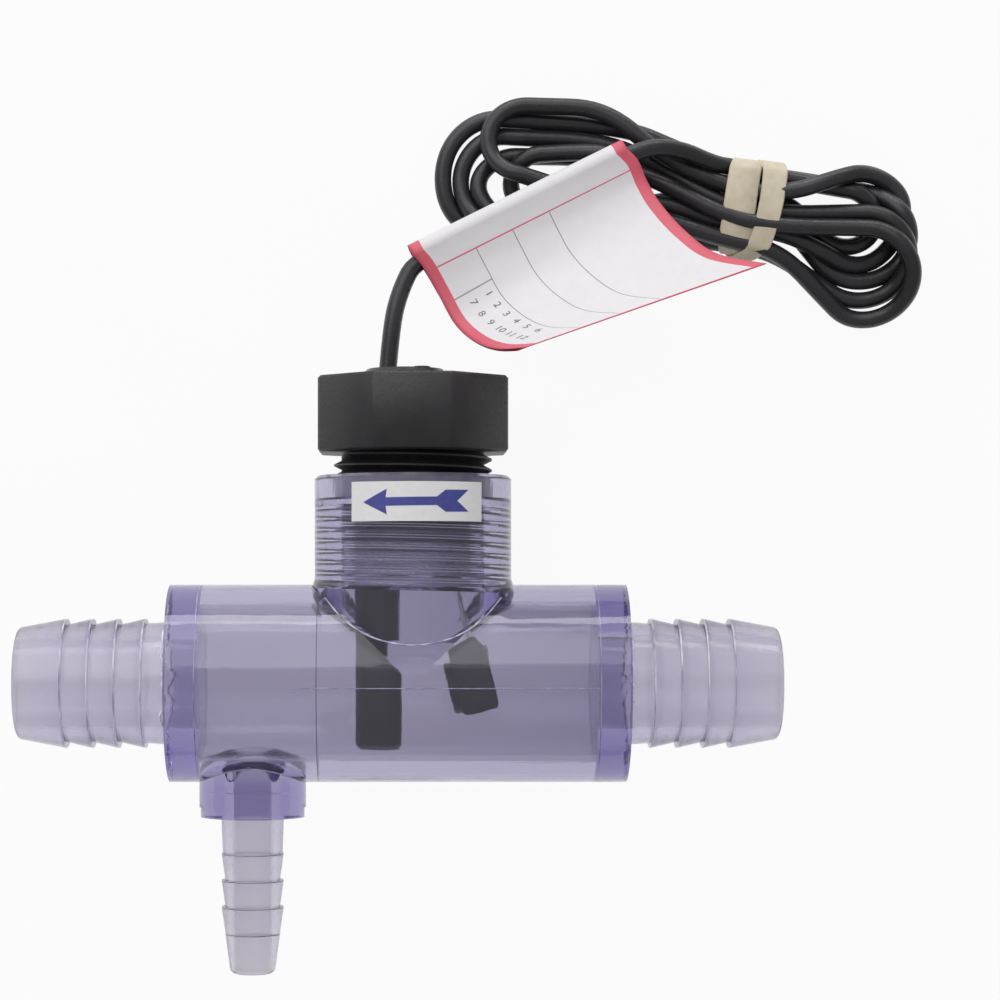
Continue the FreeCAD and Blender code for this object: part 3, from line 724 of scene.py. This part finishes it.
groove = thread("groove", clear_pvc, base=11.95, rise=1.2, half=0.85, low=THREAD_LOW, high=29.9)
tee_mesh = combine(merged_copy("tee_body", "clear_tee"), inlet, "UNION", "clear_tee")
tee_mesh = combine(tee_mesh, groove, "DIFFERENCE", "clear_tee")
collar_off = branch_x - tee_low.x - 14.0 * MM
collar_axes = [(Vector((branch_x + side * collar_off, run_y, run_z)), Y_AXIS) for side in (-1, 1)]
turned_normals(tee_mesh, [run_axis, branch_axis] + collar_axes)
piece("clear_tee", tee_mesh, "clear_pvc", clear_pvc, "tee_body", "inlet_barb")

# %% [markdown]
# The plug is glass-filled black plastic, a little rough and grey where light falls on it. Its thread ridge
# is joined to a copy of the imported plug, so that both are one piece.

# %% Black plug
black_plastic = finish("black_plastic", (0.02, 0.02, 0.02), 0.5)
grain(black_plastic, 2600, bump=0.000016, rough=(0.36, 0.55))
grain(black_plastic, 160, tone=(screen(34, 31, 34), screen(43, 40, 43)), detail=8)


ridge_out = thread("ridge_out", black_plastic, base=11.9, rise=1.43, half=0.85, low=34.0, high=38.4)
plug_mesh = join(merged_copy("switch_plug", "plug"), ridge_out)
smooth(plug_mesh, 32)
piece("plug", plug_mesh, "black_plastic", black_plastic, "switch_plug")

# %% [markdown]
# Pipe sealant makes the joint tight. It coats the plug's thread inside the branch, which greys the black
# plastic there, and it fills the counterbore at the rim. The coat is one sleeve with the thread's ridge on
# it, and the fill is a ring turned from its outline, with the sagging top that a paste leaves. A thin clear
# smear is left on the bore's wall further down.

# %% Thread sealant
sealant_grey = grain(finish("sealant_grey", (0.2, 0.2, 0.22), 0.4), 700, bump=0.00012,
                     tone=(screen(90, 82, 116), screen(126, 118, 150)), rough=(0.25, 0.5), stretch=(1, 5, 1))
sealant_pale = grain(finish("sealant_pale", (0.6, 0.6, 0.62), 0.45), 500, bump=0.00015,
                     tone=(screen(188, 184, 196), screen(214, 211, 220)), rough=(0.35, 0.6))


def turned(outline, name, steps=128):
    """A closed ring round the branch's axis, from (radius, height) points in millimetres."""
    angles = [2 * math.pi * i / steps for i in range(steps)]
    return lofted([[spot(r * math.cos(a), y, r * math.sin(a)) for r, y in outline] for a in angles], name)


coat_ridge = thread("coat_ridge", sealant_grey, base=11.9, rise=1.08, half=0.75, low=23.6, high=30.2)
sleeve = turned([(12.06, 23.45), (12.075, 23.6), (12.075, 31.0), (12.06, 31.1)], "sealant_coat")
coat = join(sleeve, coat_ridge)
smooth(coat, 40)
piece("sealant_coat", coat, "potting", sealant_grey)
smear = grain(finish("sealant_smear", (0.80, 0.77, 0.90), 0.45, IOR=1.45, Transmission_Weight=0.8), 900,
              bump=0.00006, rough=(0.35, 0.6), stretch=(1, 4, 1))
let_lamps_through(smear)
film_ring = turned([(12.0, 16.3), (12.03, 16.2), (12.07, 16.3), (12.07, 23.3), (12.0, 23.3)], "sealant_smear")
smooth(film_ring, 40)
piece("sealant_smear", film_ring, "potting", smear)
fill = turned([(12.08, 30.95), (13.3, 31.15), (13.41, 31.3), (13.41, 34.7), (13.2, 34.4), (12.8, 34.15),
               (12.4, 34.2), (12.08, 34.5)], "sealant_fill")
smooth(fill, 40)
piece("sealant_fill", fill, "potting", sealant_pale)

# %% [markdown]
# Cement squeezes out where a barb meets its flange. The bead is a ring whose place and thickness wander with
# noise, so Geometry Nodes can grow both from one tree, each with its own seed.

# %% Cement beads
def bead_nodes():
    tree, add, given = grower("cement_bead", Ring_Radius=0.0105, Bead_Radius=0.0003, Wander=0.001, Seed=1.0)
    noise = add("ShaderNodeTexNoise", W=given["Seed"], Scale=420, Detail=3,
                settings={"noise_dimensions": "4D"}).outputs
    centred = add("ShaderNodeVectorMath", noise["Color"], (0.5, 0.5, 0.5), settings={"operation": "SUBTRACT"})
    wander = add("ShaderNodeVectorMath", centred.outputs["Vector"], Scale=given["Wander"],
                 settings={"operation": "SCALE"})
    moved = add("GeometryNodeSetPosition", Geometry=circle(add, 180, given["Ring Radius"]),
                Offset=wander.outputs["Vector"])
    thick = add("ShaderNodeMapRange", noise["Fac"], 0.35, 0.7, 0.25, 1.5).outputs["Result"]
    path = add("GeometryNodeSetCurveRadius", Curve=moved.outputs["Geometry"], Radius=thick)
    bead = swept_ring(add, path.outputs["Curve"], circle(add, 8, given["Bead Radius"]), Scale=thick)
    give_out(add, bead, given["Finish"])
    return tree


bead_tree = bead_nodes()
cement = grain(finish("dried_cement", (0.7, 0.68, 0.78), 0.25), 1500, bump=0.00004,
               tone=(screen(214, 210, 232), screen(250, 249, 253)), rough=(0.15, 0.4))
BEAD_X = 38.6 * MM                # a quarter of a millimetre off the flange's face
bead_meshes = []
for seed, x in ((1.0, -BEAD_X), (5.0, BEAD_X)):
    bead = grown(bead_tree, "bead", cement, Ring_Radius=10.8 * MM, Bead_Radius=0.2 * MM, Wander=3.2 * MM,
                 Seed=seed)
    bead.transform(Matrix.Translation((x, run_y, run_z)) @ Matrix.Rotation(math.pi / 2, 4, "Y"))
    outward(bead)
    smooth(bead, 60)
    bead_meshes.append(bead)
piece("cement_beads", join(*bead_meshes), "clear_pvc", cement)

# %% [markdown]
# The two halves of the mould leave a fine raised line along the top of the run.

# %% Parting line
LINE_Y = -0.42 * MM               # the halves meet just below the middle
RUN_R, BRANCH_R = 16.65, 16.6     # the outsides of the run and the branch, in millimetres


def parting_line(low_x, high_x, steps=40):
    section = [(-0.09, -0.03), (-0.03, 0.035), (0.03, 0.035), (0.09, -0.03)]
    top = run_z + RUN_R * MM
    places = [low_x + (high_x - low_x) * i / steps for i in range(steps + 1)]
    return lofted([[(x, run_y + LINE_Y + y * MM, top + z * MM) for y, z in section] for x in places],
                  "parting_line", closed=False)


def swept(points, radius, name):
    """A fine bead along points given in millimetres, on the skin of the clear plastic."""
    line = bpy.data.curves.new(name, "CURVE")
    line.dimensions = "3D"
    path = line.splines.new("NURBS")
    path.points.add(len(points) - 1)
    for point, place in zip(path.points, points):
        point.co = (*(c * MM for c in place), 1)
    path.order_u = 3
    path.use_endpoint_u = True
    line.bevel_depth = radius * MM
    line.bevel_resolution = 2
    holder = bpy.data.objects.new(name, line)
    mesh = bpy.data.meshes.new_from_object(holder)
    bpy.data.objects.remove(holder)
    return mesh


# %% [markdown]
# Two more lines show on the skin: the saddle where the branch grows out of the run, drawn pale as a painted
# highlight, and the seam where the two mouldings of the tee meet.

# %% Saddle line and seam
def skin(x, y):
    """Height of the outside there, in millimetres: the run's or the branch's, whichever is higher."""
    across, up = x - branch_x / MM, y - run_y / MM
    run_skin = math.sqrt(max(RUN_R ** 2 - up * up, 0))
    branch_skin = math.sqrt(max(BRANCH_R ** 2 - across * across, 0)) if up > 0 else 0
    return run_z / MM + max(run_skin, branch_skin)


saddle_half = [(0, 6.55), (3.2, 6.9), (6.3, 7.7), (9.0, 9.0), (11.3, 10.7), (13.2, 12.6), (14.6, 14.4)]
saddle_points = []
for across, up in [(-a, u) for a, u in saddle_half[::-1]] + saddle_half[1:]:
    x, y = branch_x / MM + across, run_y / MM + up
    saddle_points.append((x, y, skin(x, y)))
seam_x, SEAM_R = -13.3, 16.66
seam_points = [(seam_x, run_y / MM + SEAM_R * math.cos(a), run_z / MM + SEAM_R * math.sin(a))
               for a in (math.radians(-50 + 11.5 * i) for i in range(21))]
# The saddle bead's pale tone is a painted highlight along the crease where the branch meets the run.
saddle_painted_highlight = grain(finish("saddle_painted_highlight", (0.7, 0.7, 0.8), 0.15), 500, bump=0.00001,
                       tone=(screen(140, 132, 176), screen(226, 224, 240)))
seam_shade = grain(finish("seam_shade", (0.2, 0.2, 0.3), 0.3), 500, bump=0.00001,
                   tone=(screen(72, 66, 98), screen(110, 104, 140)))
piece("saddle_line", swept(saddle_points, 0.15, "saddle_line"), "clear_pvc", saddle_painted_highlight)
piece("seam_line", swept(seam_points, 0.06, "seam_line"), "clear_pvc", seam_shade)

# %% Parting line in place
line_plastic = grain(finish("line_plastic", (0.5, 0.48, 0.62), 0.2), 600, bump=0.00001,
                     tone=(screen(132, 126, 172), screen(172, 168, 200)))
piece("parting_line", parting_line(-17.5 * MM, 33.0 * MM), "clear_pvc", line_plastic)

# %% [markdown]
# The edges of the barbs' crests and the joints of the end flanges get fine pale rings: a painted highlight
# for the light that these edges catch. They repeat at a pitch, so one tree instances a swept ring along a
# line.

# %% Painted highlight rings
def ring_nodes():
    tree, add, given = grower("highlight_rings", Count=4, Pitch=0.00444, Ring_Radius=0.0109, Line_Radius=0.0001)
    offset = add("ShaderNodeCombineXYZ", Z=given["Pitch"]).outputs["Vector"]
    line = add("GeometryNodeMeshLine", Count=given["Count"], Offset=offset)
    ring = swept_ring(add, circle(add, 96, given["Ring Radius"]), circle(add, 6, given["Line Radius"]))
    place = add("GeometryNodeInstanceOnPoints", Points=line.outputs["Mesh"], Instance=ring)
    give_out(add, place.outputs["Instances"], given["Finish"])
    return tree


ring_tree = ring_nodes()
# Painted highlight: the pale tone of these rings stands in for light that the crest and joint edges catch,
# dimmer on the drain's crests.
painted_highlight_edge = grain(finish("painted_highlight_edge", (0.8, 0.8, 0.85), 0.2), 260, bump=0.00001,
                    tone=(screen(150, 145, 176), screen(240, 239, 246)))
dim_painted_highlight = grain(finish("dim_painted_highlight", (0.5, 0.5, 0.55), 0.3), 400, bump=0.00001,
                  tone=(screen(118, 113, 134), screen(160, 156, 172)))


def highlight_rings(start, along, count, pitch, radius, line, made, name):
    """Rings from a start point, one pitch apart along a unit direction; sizes in millimetres."""
    mesh = grown(ring_tree, name, made, Count=count, Pitch=pitch * MM, Ring_Radius=radius * MM,
                 Line_Radius=line * MM)
    turn = Vector((0, 0, 1)).rotation_difference(Vector(along)).to_matrix().to_4x4()
    mesh.transform(Matrix.Translation(start) @ turn)
    outward(mesh)
    smooth(mesh, 60)
    return mesh


crest_x, crest_pitch = 42.58, 4.44
rings = []
for side in (-1, 1):
    for x, count, pitch, radius, line, name in ((crest_x * MM, 4, crest_pitch, 10.8, 0.11, "crests"),
                                                (FLANGE_IN, 1, 1.0, 16.53, 0.09, "joint")):
        rings.append(highlight_rings((side * x, run_y, run_z), (side, 0, 0), count, pitch, radius, line,
                                painted_highlight_edge, name))
piece("highlight_rings", join(*rings), "clear_pvc", painted_highlight_edge)
# The drain's crests get dimmer painted highlight rings.
DRAIN_CREST, DRAIN_PITCH = 28.76, 4.5          # below the run's axis, in millimetres
drain_rings = []
for i, radius in enumerate((5.14, 5.14, 5.14, 4.54)):
    start = (drain_centre[0], run_y - (DRAIN_CREST + DRAIN_PITCH * i) * MM, drain_centre[2])
    drain_rings.append(highlight_rings(start, (0, -1, 0), 1, 1.0, radius, 0.1, dim_painted_highlight, "drain_crest"))
piece("drain_highlight_rings", join(*drain_rings), "clear_pvc", dim_painted_highlight)


def drain_ring(radius, skin_r, line, name):
    """The closed line where a round port of one radius meets a round wall of another, in millimetres."""
    turns_round = [2 * math.pi * i / 36 for i in range(37)]
    return swept([(drain_centre[0] / MM + radius * math.cos(a),
                   run_y / MM - math.sqrt(skin_r ** 2 - (radius * math.sin(a)) ** 2),
                   run_z / MM + radius * math.sin(a)) for a in turns_round], line, name)


# Pale painted highlight rings at the mouth of the drain's port and at the foot of its boss.
port_lines = drain_ring(3.2, 13.35, 0.16, "port_mouth"), drain_ring(8.9, 16.6, 0.14, "boss_foot")
piece("drain_port_highlight_rings", join(*port_lines), "clear_pvc", painted_highlight_edge)

# %% [markdown]
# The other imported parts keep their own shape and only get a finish. A table of them is easier to read than
# a cell for each.

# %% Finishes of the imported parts
potting = grain(finish("potting", (0.01, 0.01, 0.01), 0.3), 300, bump=0.00008,
                tone=(screen(22, 21, 23), screen(40, 38, 41)), rough=(0.18, 0.42))
reed_tube = grain(finish("reed_glass", (0.75, 0.9, 0.8), 0.02, IOR=1.5, Transmission_Weight=1.0), 900,
                  bump=0.000004)
let_lamps_through(reed_tube)
nickel_iron = grain(finish("nickel_iron", (0.6, 0.56, 0.5), 0.3, Metallic=1.0), 4000,
                    tone=((0.52, 0.48, 0.42), (0.68, 0.64, 0.58)), rough=(0.2, 0.4), stretch=(1, 0.1, 1))
solder = grain(finish("solder", (0.6, 0.6, 0.62), 0.35, Metallic=1.0), 1500, bump=0.00004,
               tone=((0.5, 0.5, 0.52), (0.72, 0.72, 0.74)), rough=(0.25, 0.5))
conductor_white = grain(finish("conductor_white", (0.8, 0.8, 0.78), 0.4), 900, bump=0.00002,
                        tone=((0.7, 0.69, 0.66), (0.85, 0.84, 0.82)))
magnet_plating = grain(finish("magnet_plating", (0.6, 0.6, 0.6), 0.25, Metallic=1.0), 800, bump=0.00001,
                       tone=((0.5, 0.5, 0.5), (0.68, 0.68, 0.67)), rough=(0.15, 0.35))
stainless = grain(finish("stainless", (0.6, 0.6, 0.6), 0.3, Metallic=1.0), 2200, bump=0.000008,
                  tone=((0.5, 0.5, 0.5), (0.66, 0.66, 0.65)), rough=(0.22, 0.42), stretch=(1, 0.05, 1))
tinned = grain(finish("tinned_copper", (0.7, 0.6, 0.5), 0.3, Metallic=1.0), 3000, bump=0.00003,
               tone=((0.62, 0.5, 0.4), (0.78, 0.74, 0.7)), stretch=(0.3, 1, 1))
paddle_plastic = grain(finish("paddle_plastic", (0.02, 0.02, 0.02), 0.45), 1800, bump=0.00004,
                       tone=(screen(26, 24, 28), screen(38, 35, 40)), rough=(0.35, 0.55))
film = grain(finish("arrow_film", (0.8, 0.8, 0.78), 0.4), 900, bump=0.000006,
             tone=(screen(236, 235, 236), screen(240, 239, 240)), rough=(0.35, 0.45))
packed_finishes = {
    "potting_compound": potting, "reed_glass": reed_tube, "reed_lead_upper": nickel_iron,
    "reed_lead_lower": nickel_iron, "solder_joint_a": solder, "solder_joint_b": solder,
    "conductor_a": conductor_white, "conductor_b": conductor_white, "bias_magnet": magnet_plating,
    "paddle_magnet": magnet_plating, "hinge_pin": stainless, "paddle_arm": stainless,
    "arm_rivet": stainless, "paddle_vane": paddle_plastic, "magnet_cap": paddle_plastic,
    "flow_arrow_label": film, "lead_ends": tinned}
for name, made in packed_finishes.items():
    for material_slot in nodes[name].material_slots:
        material_slot.material = made
print(len(packed_finishes), "packed parts finished")

# %% [markdown]
# The flow arrow is printed on the sticker. Its outline is flat, so it is drawn flat and then bent round the
# branch, a few hundredths of a millimetre above the film.

# %% Flow arrow
arrow_ink = grain(finish("arrow_ink", (0.1, 0.1, 0.4), 0.4), 1500, bump=0.00001,
                  tone=(screen(68, 72, 148), screen(74, 80, 158)))
film_low, film_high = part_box("flow_arrow_label")
arrow_mid = ((film_low.y + film_high.y) / 2 - run_y) / MM
ARROW_TILT = 0.015                       # stuck on a little askew
half_outline = [(-8.45, 0.0), (-4.3, 2.1), (-4.5, 0.7), (3.9, 0.7), (5.35, 1.8), (9.5, 1.8), (7.4, 0.0)]
arrow_outline = half_outline + [(x, -y) for x, y in half_outline[-2:0:-1]]
film_top = film_high.z - run_z + 0.02 * MM


def on_branch(x, y, radius):
    """A flat point laid round the branch: x is measured round it, y along it."""
    angle = x * MM / branch_r
    return Vector((branch_x + radius * math.sin(angle), run_y + y * MM, run_z + radius * math.cos(angle)))


def laid_arrow():
    work = bmesh.new()
    work.faces.new([work.verts.new((x, y, 0)) for x, y in arrow_outline])
    for i in range(40):
        bmesh.ops.bisect_plane(work, geom=work.verts[:] + work.edges[:] + work.faces[:],
                               plane_co=(-8 + i * 0.5, 0, 0), plane_no=(1, 0, 0))
    bmesh.ops.triangulate(work, faces=work.faces)
    for vert in work.verts:
        vert.co = on_branch(vert.co.x, arrow_mid + vert.co.y + vert.co.x * ARROW_TILT, film_top)
    bmesh.ops.recalc_face_normals(work, faces=work.faces)
    if work.faces[:][0].normal.z < 0:
        bmesh.ops.reverse_faces(work, faces=work.faces)
    return as_mesh(work, "flow_arrow")


piece("flow_arrow", laid_arrow(), "arrow_film", arrow_ink)

# %% [markdown]
# The cable's jacket is grey-black PVC with a soft sheen, finely matt, with lighter scuffs along it.

# %% Cable jacket
cable_jacket = finish("cable_jacket", (0.03, 0.03, 0.032), 0.36)
grain(cable_jacket, 60, tone=(screen(34, 32, 35), screen(52, 50, 54)))
grain(cable_jacket, 1800, bump=0.00003, rough=(0.26, 0.44))
cable_curve.materials.append(cable_jacket)

# %% [markdown]
# The rubber band goes twice round the bundle, so it is one closed flat ribbon with two laps that cross. Each
# point of its path sits on a racetrack round the bundle, and the sideways shift swings once per two laps.

# %% Rubber band
band_rubber = finish("band_rubber", screen(205, 190, 158), 0.55, Subsurface_Weight=0.1)
grain(band_rubber, 500, bump=0.00006, tone=(screen(214, 199, 172), screen(226, 212, 187)), rough=(0.45, 0.7))
BAND_HALF = 7.9                  # half the bundle's width at the band
BAND_TOP, BAND_FOOT = 7.25, 0.35
BAND_W, BAND_T = 4.6, 0.85


def smooth_point(points, t):
    """A point at t, from 0 to 1, on the smooth curve through the points."""
    reach = t * (len(points) - 1)
    i = min(int(reach), len(points) - 2)
    f = reach - i
    p = [Vector(points[max(0, min(len(points) - 1, i + k))]) for k in (-1, 0, 1, 2)]
    return 0.5 * (2 * p[1] + (p[2] - p[0]) * f + (2 * p[0] - 5 * p[1] + 4 * p[2] - p[3]) * f * f
                  + (3 * p[1] - p[0] - 3 * p[2] + p[3]) * f ** 3)


# sideways shift and lift every quarter lap, for two laps
LAP_SHIFTS = [(-2.4, 0.2), (-3.0, 0.05), (-2.3, 0.0), (-0.2, 0.15), (1.5, 0.5), (2.2, 0.8), (-1.2, 0.95),
              (-2.6, 0.6), (-2.4, 0.2)]
LAP_STEPS = 220
BAND_EDGE = BAND_W / 2 - 0.2
BAND_SECTION = ((-BAND_W / 2, 0.1), (-BAND_EDGE, BAND_T * 0.92), (0, BAND_T), (BAND_EDGE, BAND_T * 0.92),
                (BAND_W / 2, 0.1), (BAND_EDGE, 0), (0, -0.04), (-BAND_EDGE, 0))


def band_path(t):
    """Place and outward direction, in the band's own plane, at lap angle t (two laps in all)."""
    mid = (BAND_TOP + BAND_FOOT) / 2
    radius = (BAND_TOP - BAND_FOOT) / 2
    flat = BAND_HALF - radius
    c, s = math.cos(t), math.sin(t)
    across = radius * c + flat * max(-1, min(1, 1.9 * c))
    return Vector((across, mid + radius * s * (1 - 0.12 * abs(c)))), Vector((c, s))


def band_ring(t):
    """The band's section at lap angle t; where it lifts over the other lap it is stretched narrower."""
    place, out = band_path(t)
    shift, lift = smooth_point(LAP_SHIFTS, t / (4 * math.pi))
    width = 1.24 - 0.42 * lift
    ca, sa = math.cos(BAND_TURN), math.sin(BAND_TURN)
    ring = []
    for side, up in BAND_SECTION:
        along = side * width + shift
        p = place + out * (up * 0.55 + lift * 0.6)
        ring.append((band_mid.x + (along * ca - p.x * sa) * MM, band_mid.y + (along * sa + p.x * ca) * MM,
                     max(p.y, 0.02) * MM))
    return ring


laps = lofted([band_ring(4 * math.pi * i / LAP_STEPS) for i in range(LAP_STEPS)], "rubber_band_laps")
smooth(laps, 60)
band = piece("rubber_band_laps", laps, "band_rubber", band_rubber, "rubber_band")

# %% [markdown]
# The flag is a stiff printed paper folded over the cable. Paper bends one way only, so each leaf is ruled:
# two end curves, straight lines between them. The print is made from the leaf's own UV map, where U runs
# along the fold and V away from it.

# %% Flag print
PAPER = (screen(219, 217, 220), screen(227, 225, 228))
RULE_GREY, RULE_RED = screen(150, 148, 160), screen(214, 92, 110)
# rules: the axis each stands on, its place there, half its width, and where it runs on the other axis
RED_RULES = (("U", 0.0, 0.05), ("U", 1.0, 0.05), ("V", 0.21, 0.0045, 0.05, 1.0), ("V", 1.0, 0.012))
GREY_RULES = (*(("U", at, 0.0022, 0.21, 0.98) for at in (0.23, 0.40, 0.57)), ("V", 0.40, 0.0035, 0.05, 0.23))


def printed_paper(name):
    made = finish(name, (0.8, 0.8, 0.8), 0.5)
    tree = made.node_tree
    add, link = adder(tree), tree.links.new
    shader = tree.nodes["Principled BSDF"].inputs
    uv = add("ShaderNodeUVMap", settings={"uv_map": "print"})
    u, v = add("ShaderNodeSeparateXYZ", uv.outputs["UV"]).outputs[:2]

    def rule(axis, at, half, low=None, high=None):
        here, other = (u, v) if axis == "U" else (v, u)
        on = maths(add, "LESS_THAN", maths(add, "ABSOLUTE", maths(add, "SUBTRACT", here, at)), half)
        if low is not None:
            on = maths(add, "MULTIPLY", on, maths(add, "GREATER_THAN", other, low))
            on = maths(add, "MULTIPLY", on, maths(add, "LESS_THAN", other, high))
        return on

    def together(rules):
        total, *rest = [rule(*one) for one in rules]
        for part in rest:
            total = maths(add, "MAXIMUM", total, part)
        return total

    place = add("ShaderNodeTexCoord").outputs["Object"]
    noise = add("ShaderNodeTexNoise", Vector=place, Scale=400).outputs["Fac"]
    paper = add("ShaderNodeValToRGB", Fac=noise)
    for element, colour in zip(paper.color_ramp.elements, PAPER):
        element.color = (*colour, 1)
    colour = blend(add, together(GREY_RULES), paper.outputs["Color"], RULE_GREY)
    link(blend(add, together(RED_RULES), colour, RULE_RED), shader["Base Color"])
    relief = add("ShaderNodeBump", Distance=0.00002, Height=noise)
    link(relief.outputs["Normal"], shader["Normal"])
    return made


label_film = printed_paper("label_film")

# %% Flag shape
left_end = [(2.5, 69.9, 17.3), (4.2, 67.9, 17.0), (6.7, 63.5, 16.8), (9.55, 58.2, 18.0), (12.8, 54.9, 22.0),
            (16.35, 53.1, 28.0), (20.7, 52.6, 36.0)]
right_end = [(38.9, 88.3, 14.1), (40.8, 86.4, 13.6), (42.3, 83.0, 13.4), (44.4, 79.0, 15.0),
             (48.2, 73.8, 19.0), (53.0, 69.2, 24.6), (60.5, 66.9, 30.0)]
CABLE_AXIS = ((2.5, 69.9, 15.3), (38.8, 88.2, 12.1))
FOLD_OUT = Vector((-0.450, 0.893, 0))
FOLD_R = 2.0


def leaf_point(u, v, lift=0.0):
    """A point of the upper leaf, in metres; lift moves it off the paper, towards the reader."""
    def on(a, b):
        return smooth_point(left_end, b).lerp(smooth_point(right_end, b), a)

    here = on(u, v)
    if lift:
        e = 0.01
        along = on(min(u + e, 1), v) - on(max(u - e, 0), v)
        away = on(u, min(v + e, 1)) - on(u, max(v - e, 0))
        normal = along.cross(away).normalized()
        here = here + normal * (lift if normal.z > 0 else -lift)
    return here * MM


def lower_leaf_point(u, v):
    """The lower leaf follows the upper one, a little under it and a little shorter."""
    top = leaf_point(u, v * 0.93) / MM
    gap = 2 * FOLD_R * (1 - v) ** 2 + 1.3 * v + 0.25
    return (top - Vector((0, 0, gap)) + Vector((0.5, -0.2, 0)) * v) * MM


COLUMNS, LEAF_ROWS, FOLD_ROWS = 48, 44, 10


def flag_rows():
    """Rows of (v for the print, points) from the upper leaf's edge, round the fold, to the lower edge."""
    columns = [i / COLUMNS for i in range(COLUMNS + 1)]
    leaf = [j / LEAF_ROWS for j in range(LEAF_ROWS + 1)]
    rows = [(1 - v, [leaf_point(u, 1 - v) for u in columns]) for v in leaf]
    for j in range(1, FOLD_ROWS):
        angle = math.pi * j / FOLD_ROWS
        points = []
        for u in columns:
            centre = Vector(CABLE_AXIS[0]).lerp(Vector(CABLE_AXIS[1]), u)
            top = smooth_point(left_end, 0).lerp(smooth_point(right_end, 0), u)
            out = FOLD_OUT * (FOLD_R * math.sin(angle)) + Vector((0, 0, FOLD_R * math.cos(angle)))
            points.append((Vector((top.x, top.y, centre.z)) + out) * MM)
        rows.append((-0.02 - 0.004 * j, points))
    rows += [(-0.08 - 0.9 * v, [lower_leaf_point(u, v) for u in columns]) for v in leaf]
    return columns, rows


def flag_mesh():
    columns, rows = flag_rows()
    work = bmesh.new()
    uv_layer = work.loops.layers.uv.new("print")
    grid = [[(work.verts.new(p), u, v) for u, p in zip(columns, points)] for v, points in rows]
    for a, b in zip(grid, grid[1:]):
        for i in range(len(columns) - 1):
            corners = [a[i], a[i + 1], b[i + 1], b[i]]
            face = work.faces.new([c[0] for c in corners])
            face.smooth = True
            for loop, corner in zip(face.loops, corners):
                loop[uv_layer].uv = (corner[1], corner[2])
    return as_mesh(work, "flag")


def solid(mesh, thickness, name):
    """The sheet with a real thickness."""
    holder = bpy.data.objects.new(name, mesh)
    scene.collection.objects.link(holder)
    thick = holder.modifiers.new("thickness", "SOLIDIFY")
    thick.thickness = thickness
    thick.offset = 0
    return evaluated(holder)


flag_sheet = solid(flag_mesh(), 0.14 * MM, "flag")
flag = piece("flag", flag_sheet, "label_film", label_film, "rating_label")

# %% [markdown]
# Plain numbers stand in the flag's ruled grid, as on a date grid. Text is a flat curve, so it is made a mesh
# first and then each of its points is laid on the leaf.

# %% Flag numbers
number_ink = grain(finish("number_ink", (0.3, 0.3, 0.35), 0.5), 2000, bump=0.000005,
                   tone=(screen(96, 94, 104), screen(120, 118, 128)))
LEAF_LENGTH, LEAF_REACH = 39.5, 30.0      # millimetres along the fold and away from it


def laid_text(words, u, v, size):
    """Words read away from the fold, their middle at u, v of the leaf."""
    text = bpy.data.curves.new("words", "FONT")
    text.body = words
    text.size = size
    text.align_x = "CENTER"
    text.align_y = "CENTER"
    holder = bpy.data.objects.new("words", text)
    mesh = bpy.data.meshes.new_from_object(holder)
    bpy.data.objects.remove(holder)
    for vert in mesh.vertices:
        x, y = vert.co.x, vert.co.y
        vert.co = leaf_point(u + y / LEAF_LENGTH, v + x / LEAF_REACH, 0.1)
    return mesh


FIRST_NUMBER, NUMBER_STEP, NUMBER_SIZE = 0.455, 0.075, 1.75
numbers = [laid_text(str(first + i), u, FIRST_NUMBER + NUMBER_STEP * i, NUMBER_SIZE)
           for i in range(6) for first, u in ((1, 0.19), (7, 0.115))]
piece("flag_numbers", join(*numbers), "label_film", number_ink)

# %% [markdown]
# A plain white floor and even light. The floor shows white to the camera and through the clear plastic,
# and still takes the object's shadow. A large key lamp stands high behind, and a low, wide one behind it
# gives the long highlights on the run.

# %% Floor and lamps
world = bpy.data.worlds.new("world")
scene.world = world
world.use_nodes = True
sky = world.node_tree.nodes["Background"].inputs
sky["Color"].default_value = (1, 1, 1, 1)
sky["Strength"].default_value = 0.42

FLOOR, FLOOR_Z = 4.0, -0.0002
floor_mesh = bpy.data.meshes.new("floor")
floor_mesh.from_pydata([(x * FLOOR, y * FLOOR, FLOOR_Z) for x, y in ((-1, -1), (1, -1), (1, 1), (-1, 1))],
                       [], [(0, 1, 2, 3)])
floor = bpy.data.objects.new("floor", floor_mesh)
scene.collection.objects.link(floor)
white_floor = finish("white_floor", (0.8, 0.8, 0.8), 0.9)
grain(white_floor, 40, tone=((0.78, 0.78, 0.78), (0.82, 0.82, 0.82)))


def shine_for_the_eye(made, share):
    """Mix in a white glow where the ray comes from the camera, a mirror or clear plastic."""
    add = adder(made.node_tree)
    ray = add("ShaderNodeLightPath").outputs
    seen = maths(add, "MAXIMUM", ray["Is Camera Ray"], ray["Is Glossy Ray"])
    level = maths(add, "MULTIPLY", maths(add, "MAXIMUM", seen, ray["Is Transmission Ray"]), share)
    matt = made.node_tree.nodes["Principled BSDF"].outputs["BSDF"]
    glow = add("ShaderNodeEmission").outputs["Emission"]
    show(made, add("ShaderNodeMixShader", level, matt, glow).outputs["Shader"])


shine_for_the_eye(white_floor, 0.93)
floor_mesh.materials.append(white_floor)


def lamp(name, place, target, width, height, power):
    data = bpy.data.lights.new(name, "AREA")
    data.shape = "RECTANGLE"
    data.size, data.size_y = width, height
    data.energy = power
    made = bpy.data.objects.new(name, data)
    made.location = place
    made.rotation_euler = (Vector(target) - Vector(place)).to_track_quat("-Z", "Y").to_euler()
    scene.collection.objects.link(made)


lamp("key", (-0.4, 0.8, 0.8), target=(0, 0, 0), width=1.3, height=1.3, power=8.0)
lamp("side", (0.05, 0.85, 0.16), target=(0, 0, 0.01), width=0.9, height=0.2, power=2.2)

scene.view_settings.view_transform = "Standard"

# %% [markdown]
# All the pieces exist, so the scene is brought up to date.

# %% Update
bpy.context.view_layer.update()
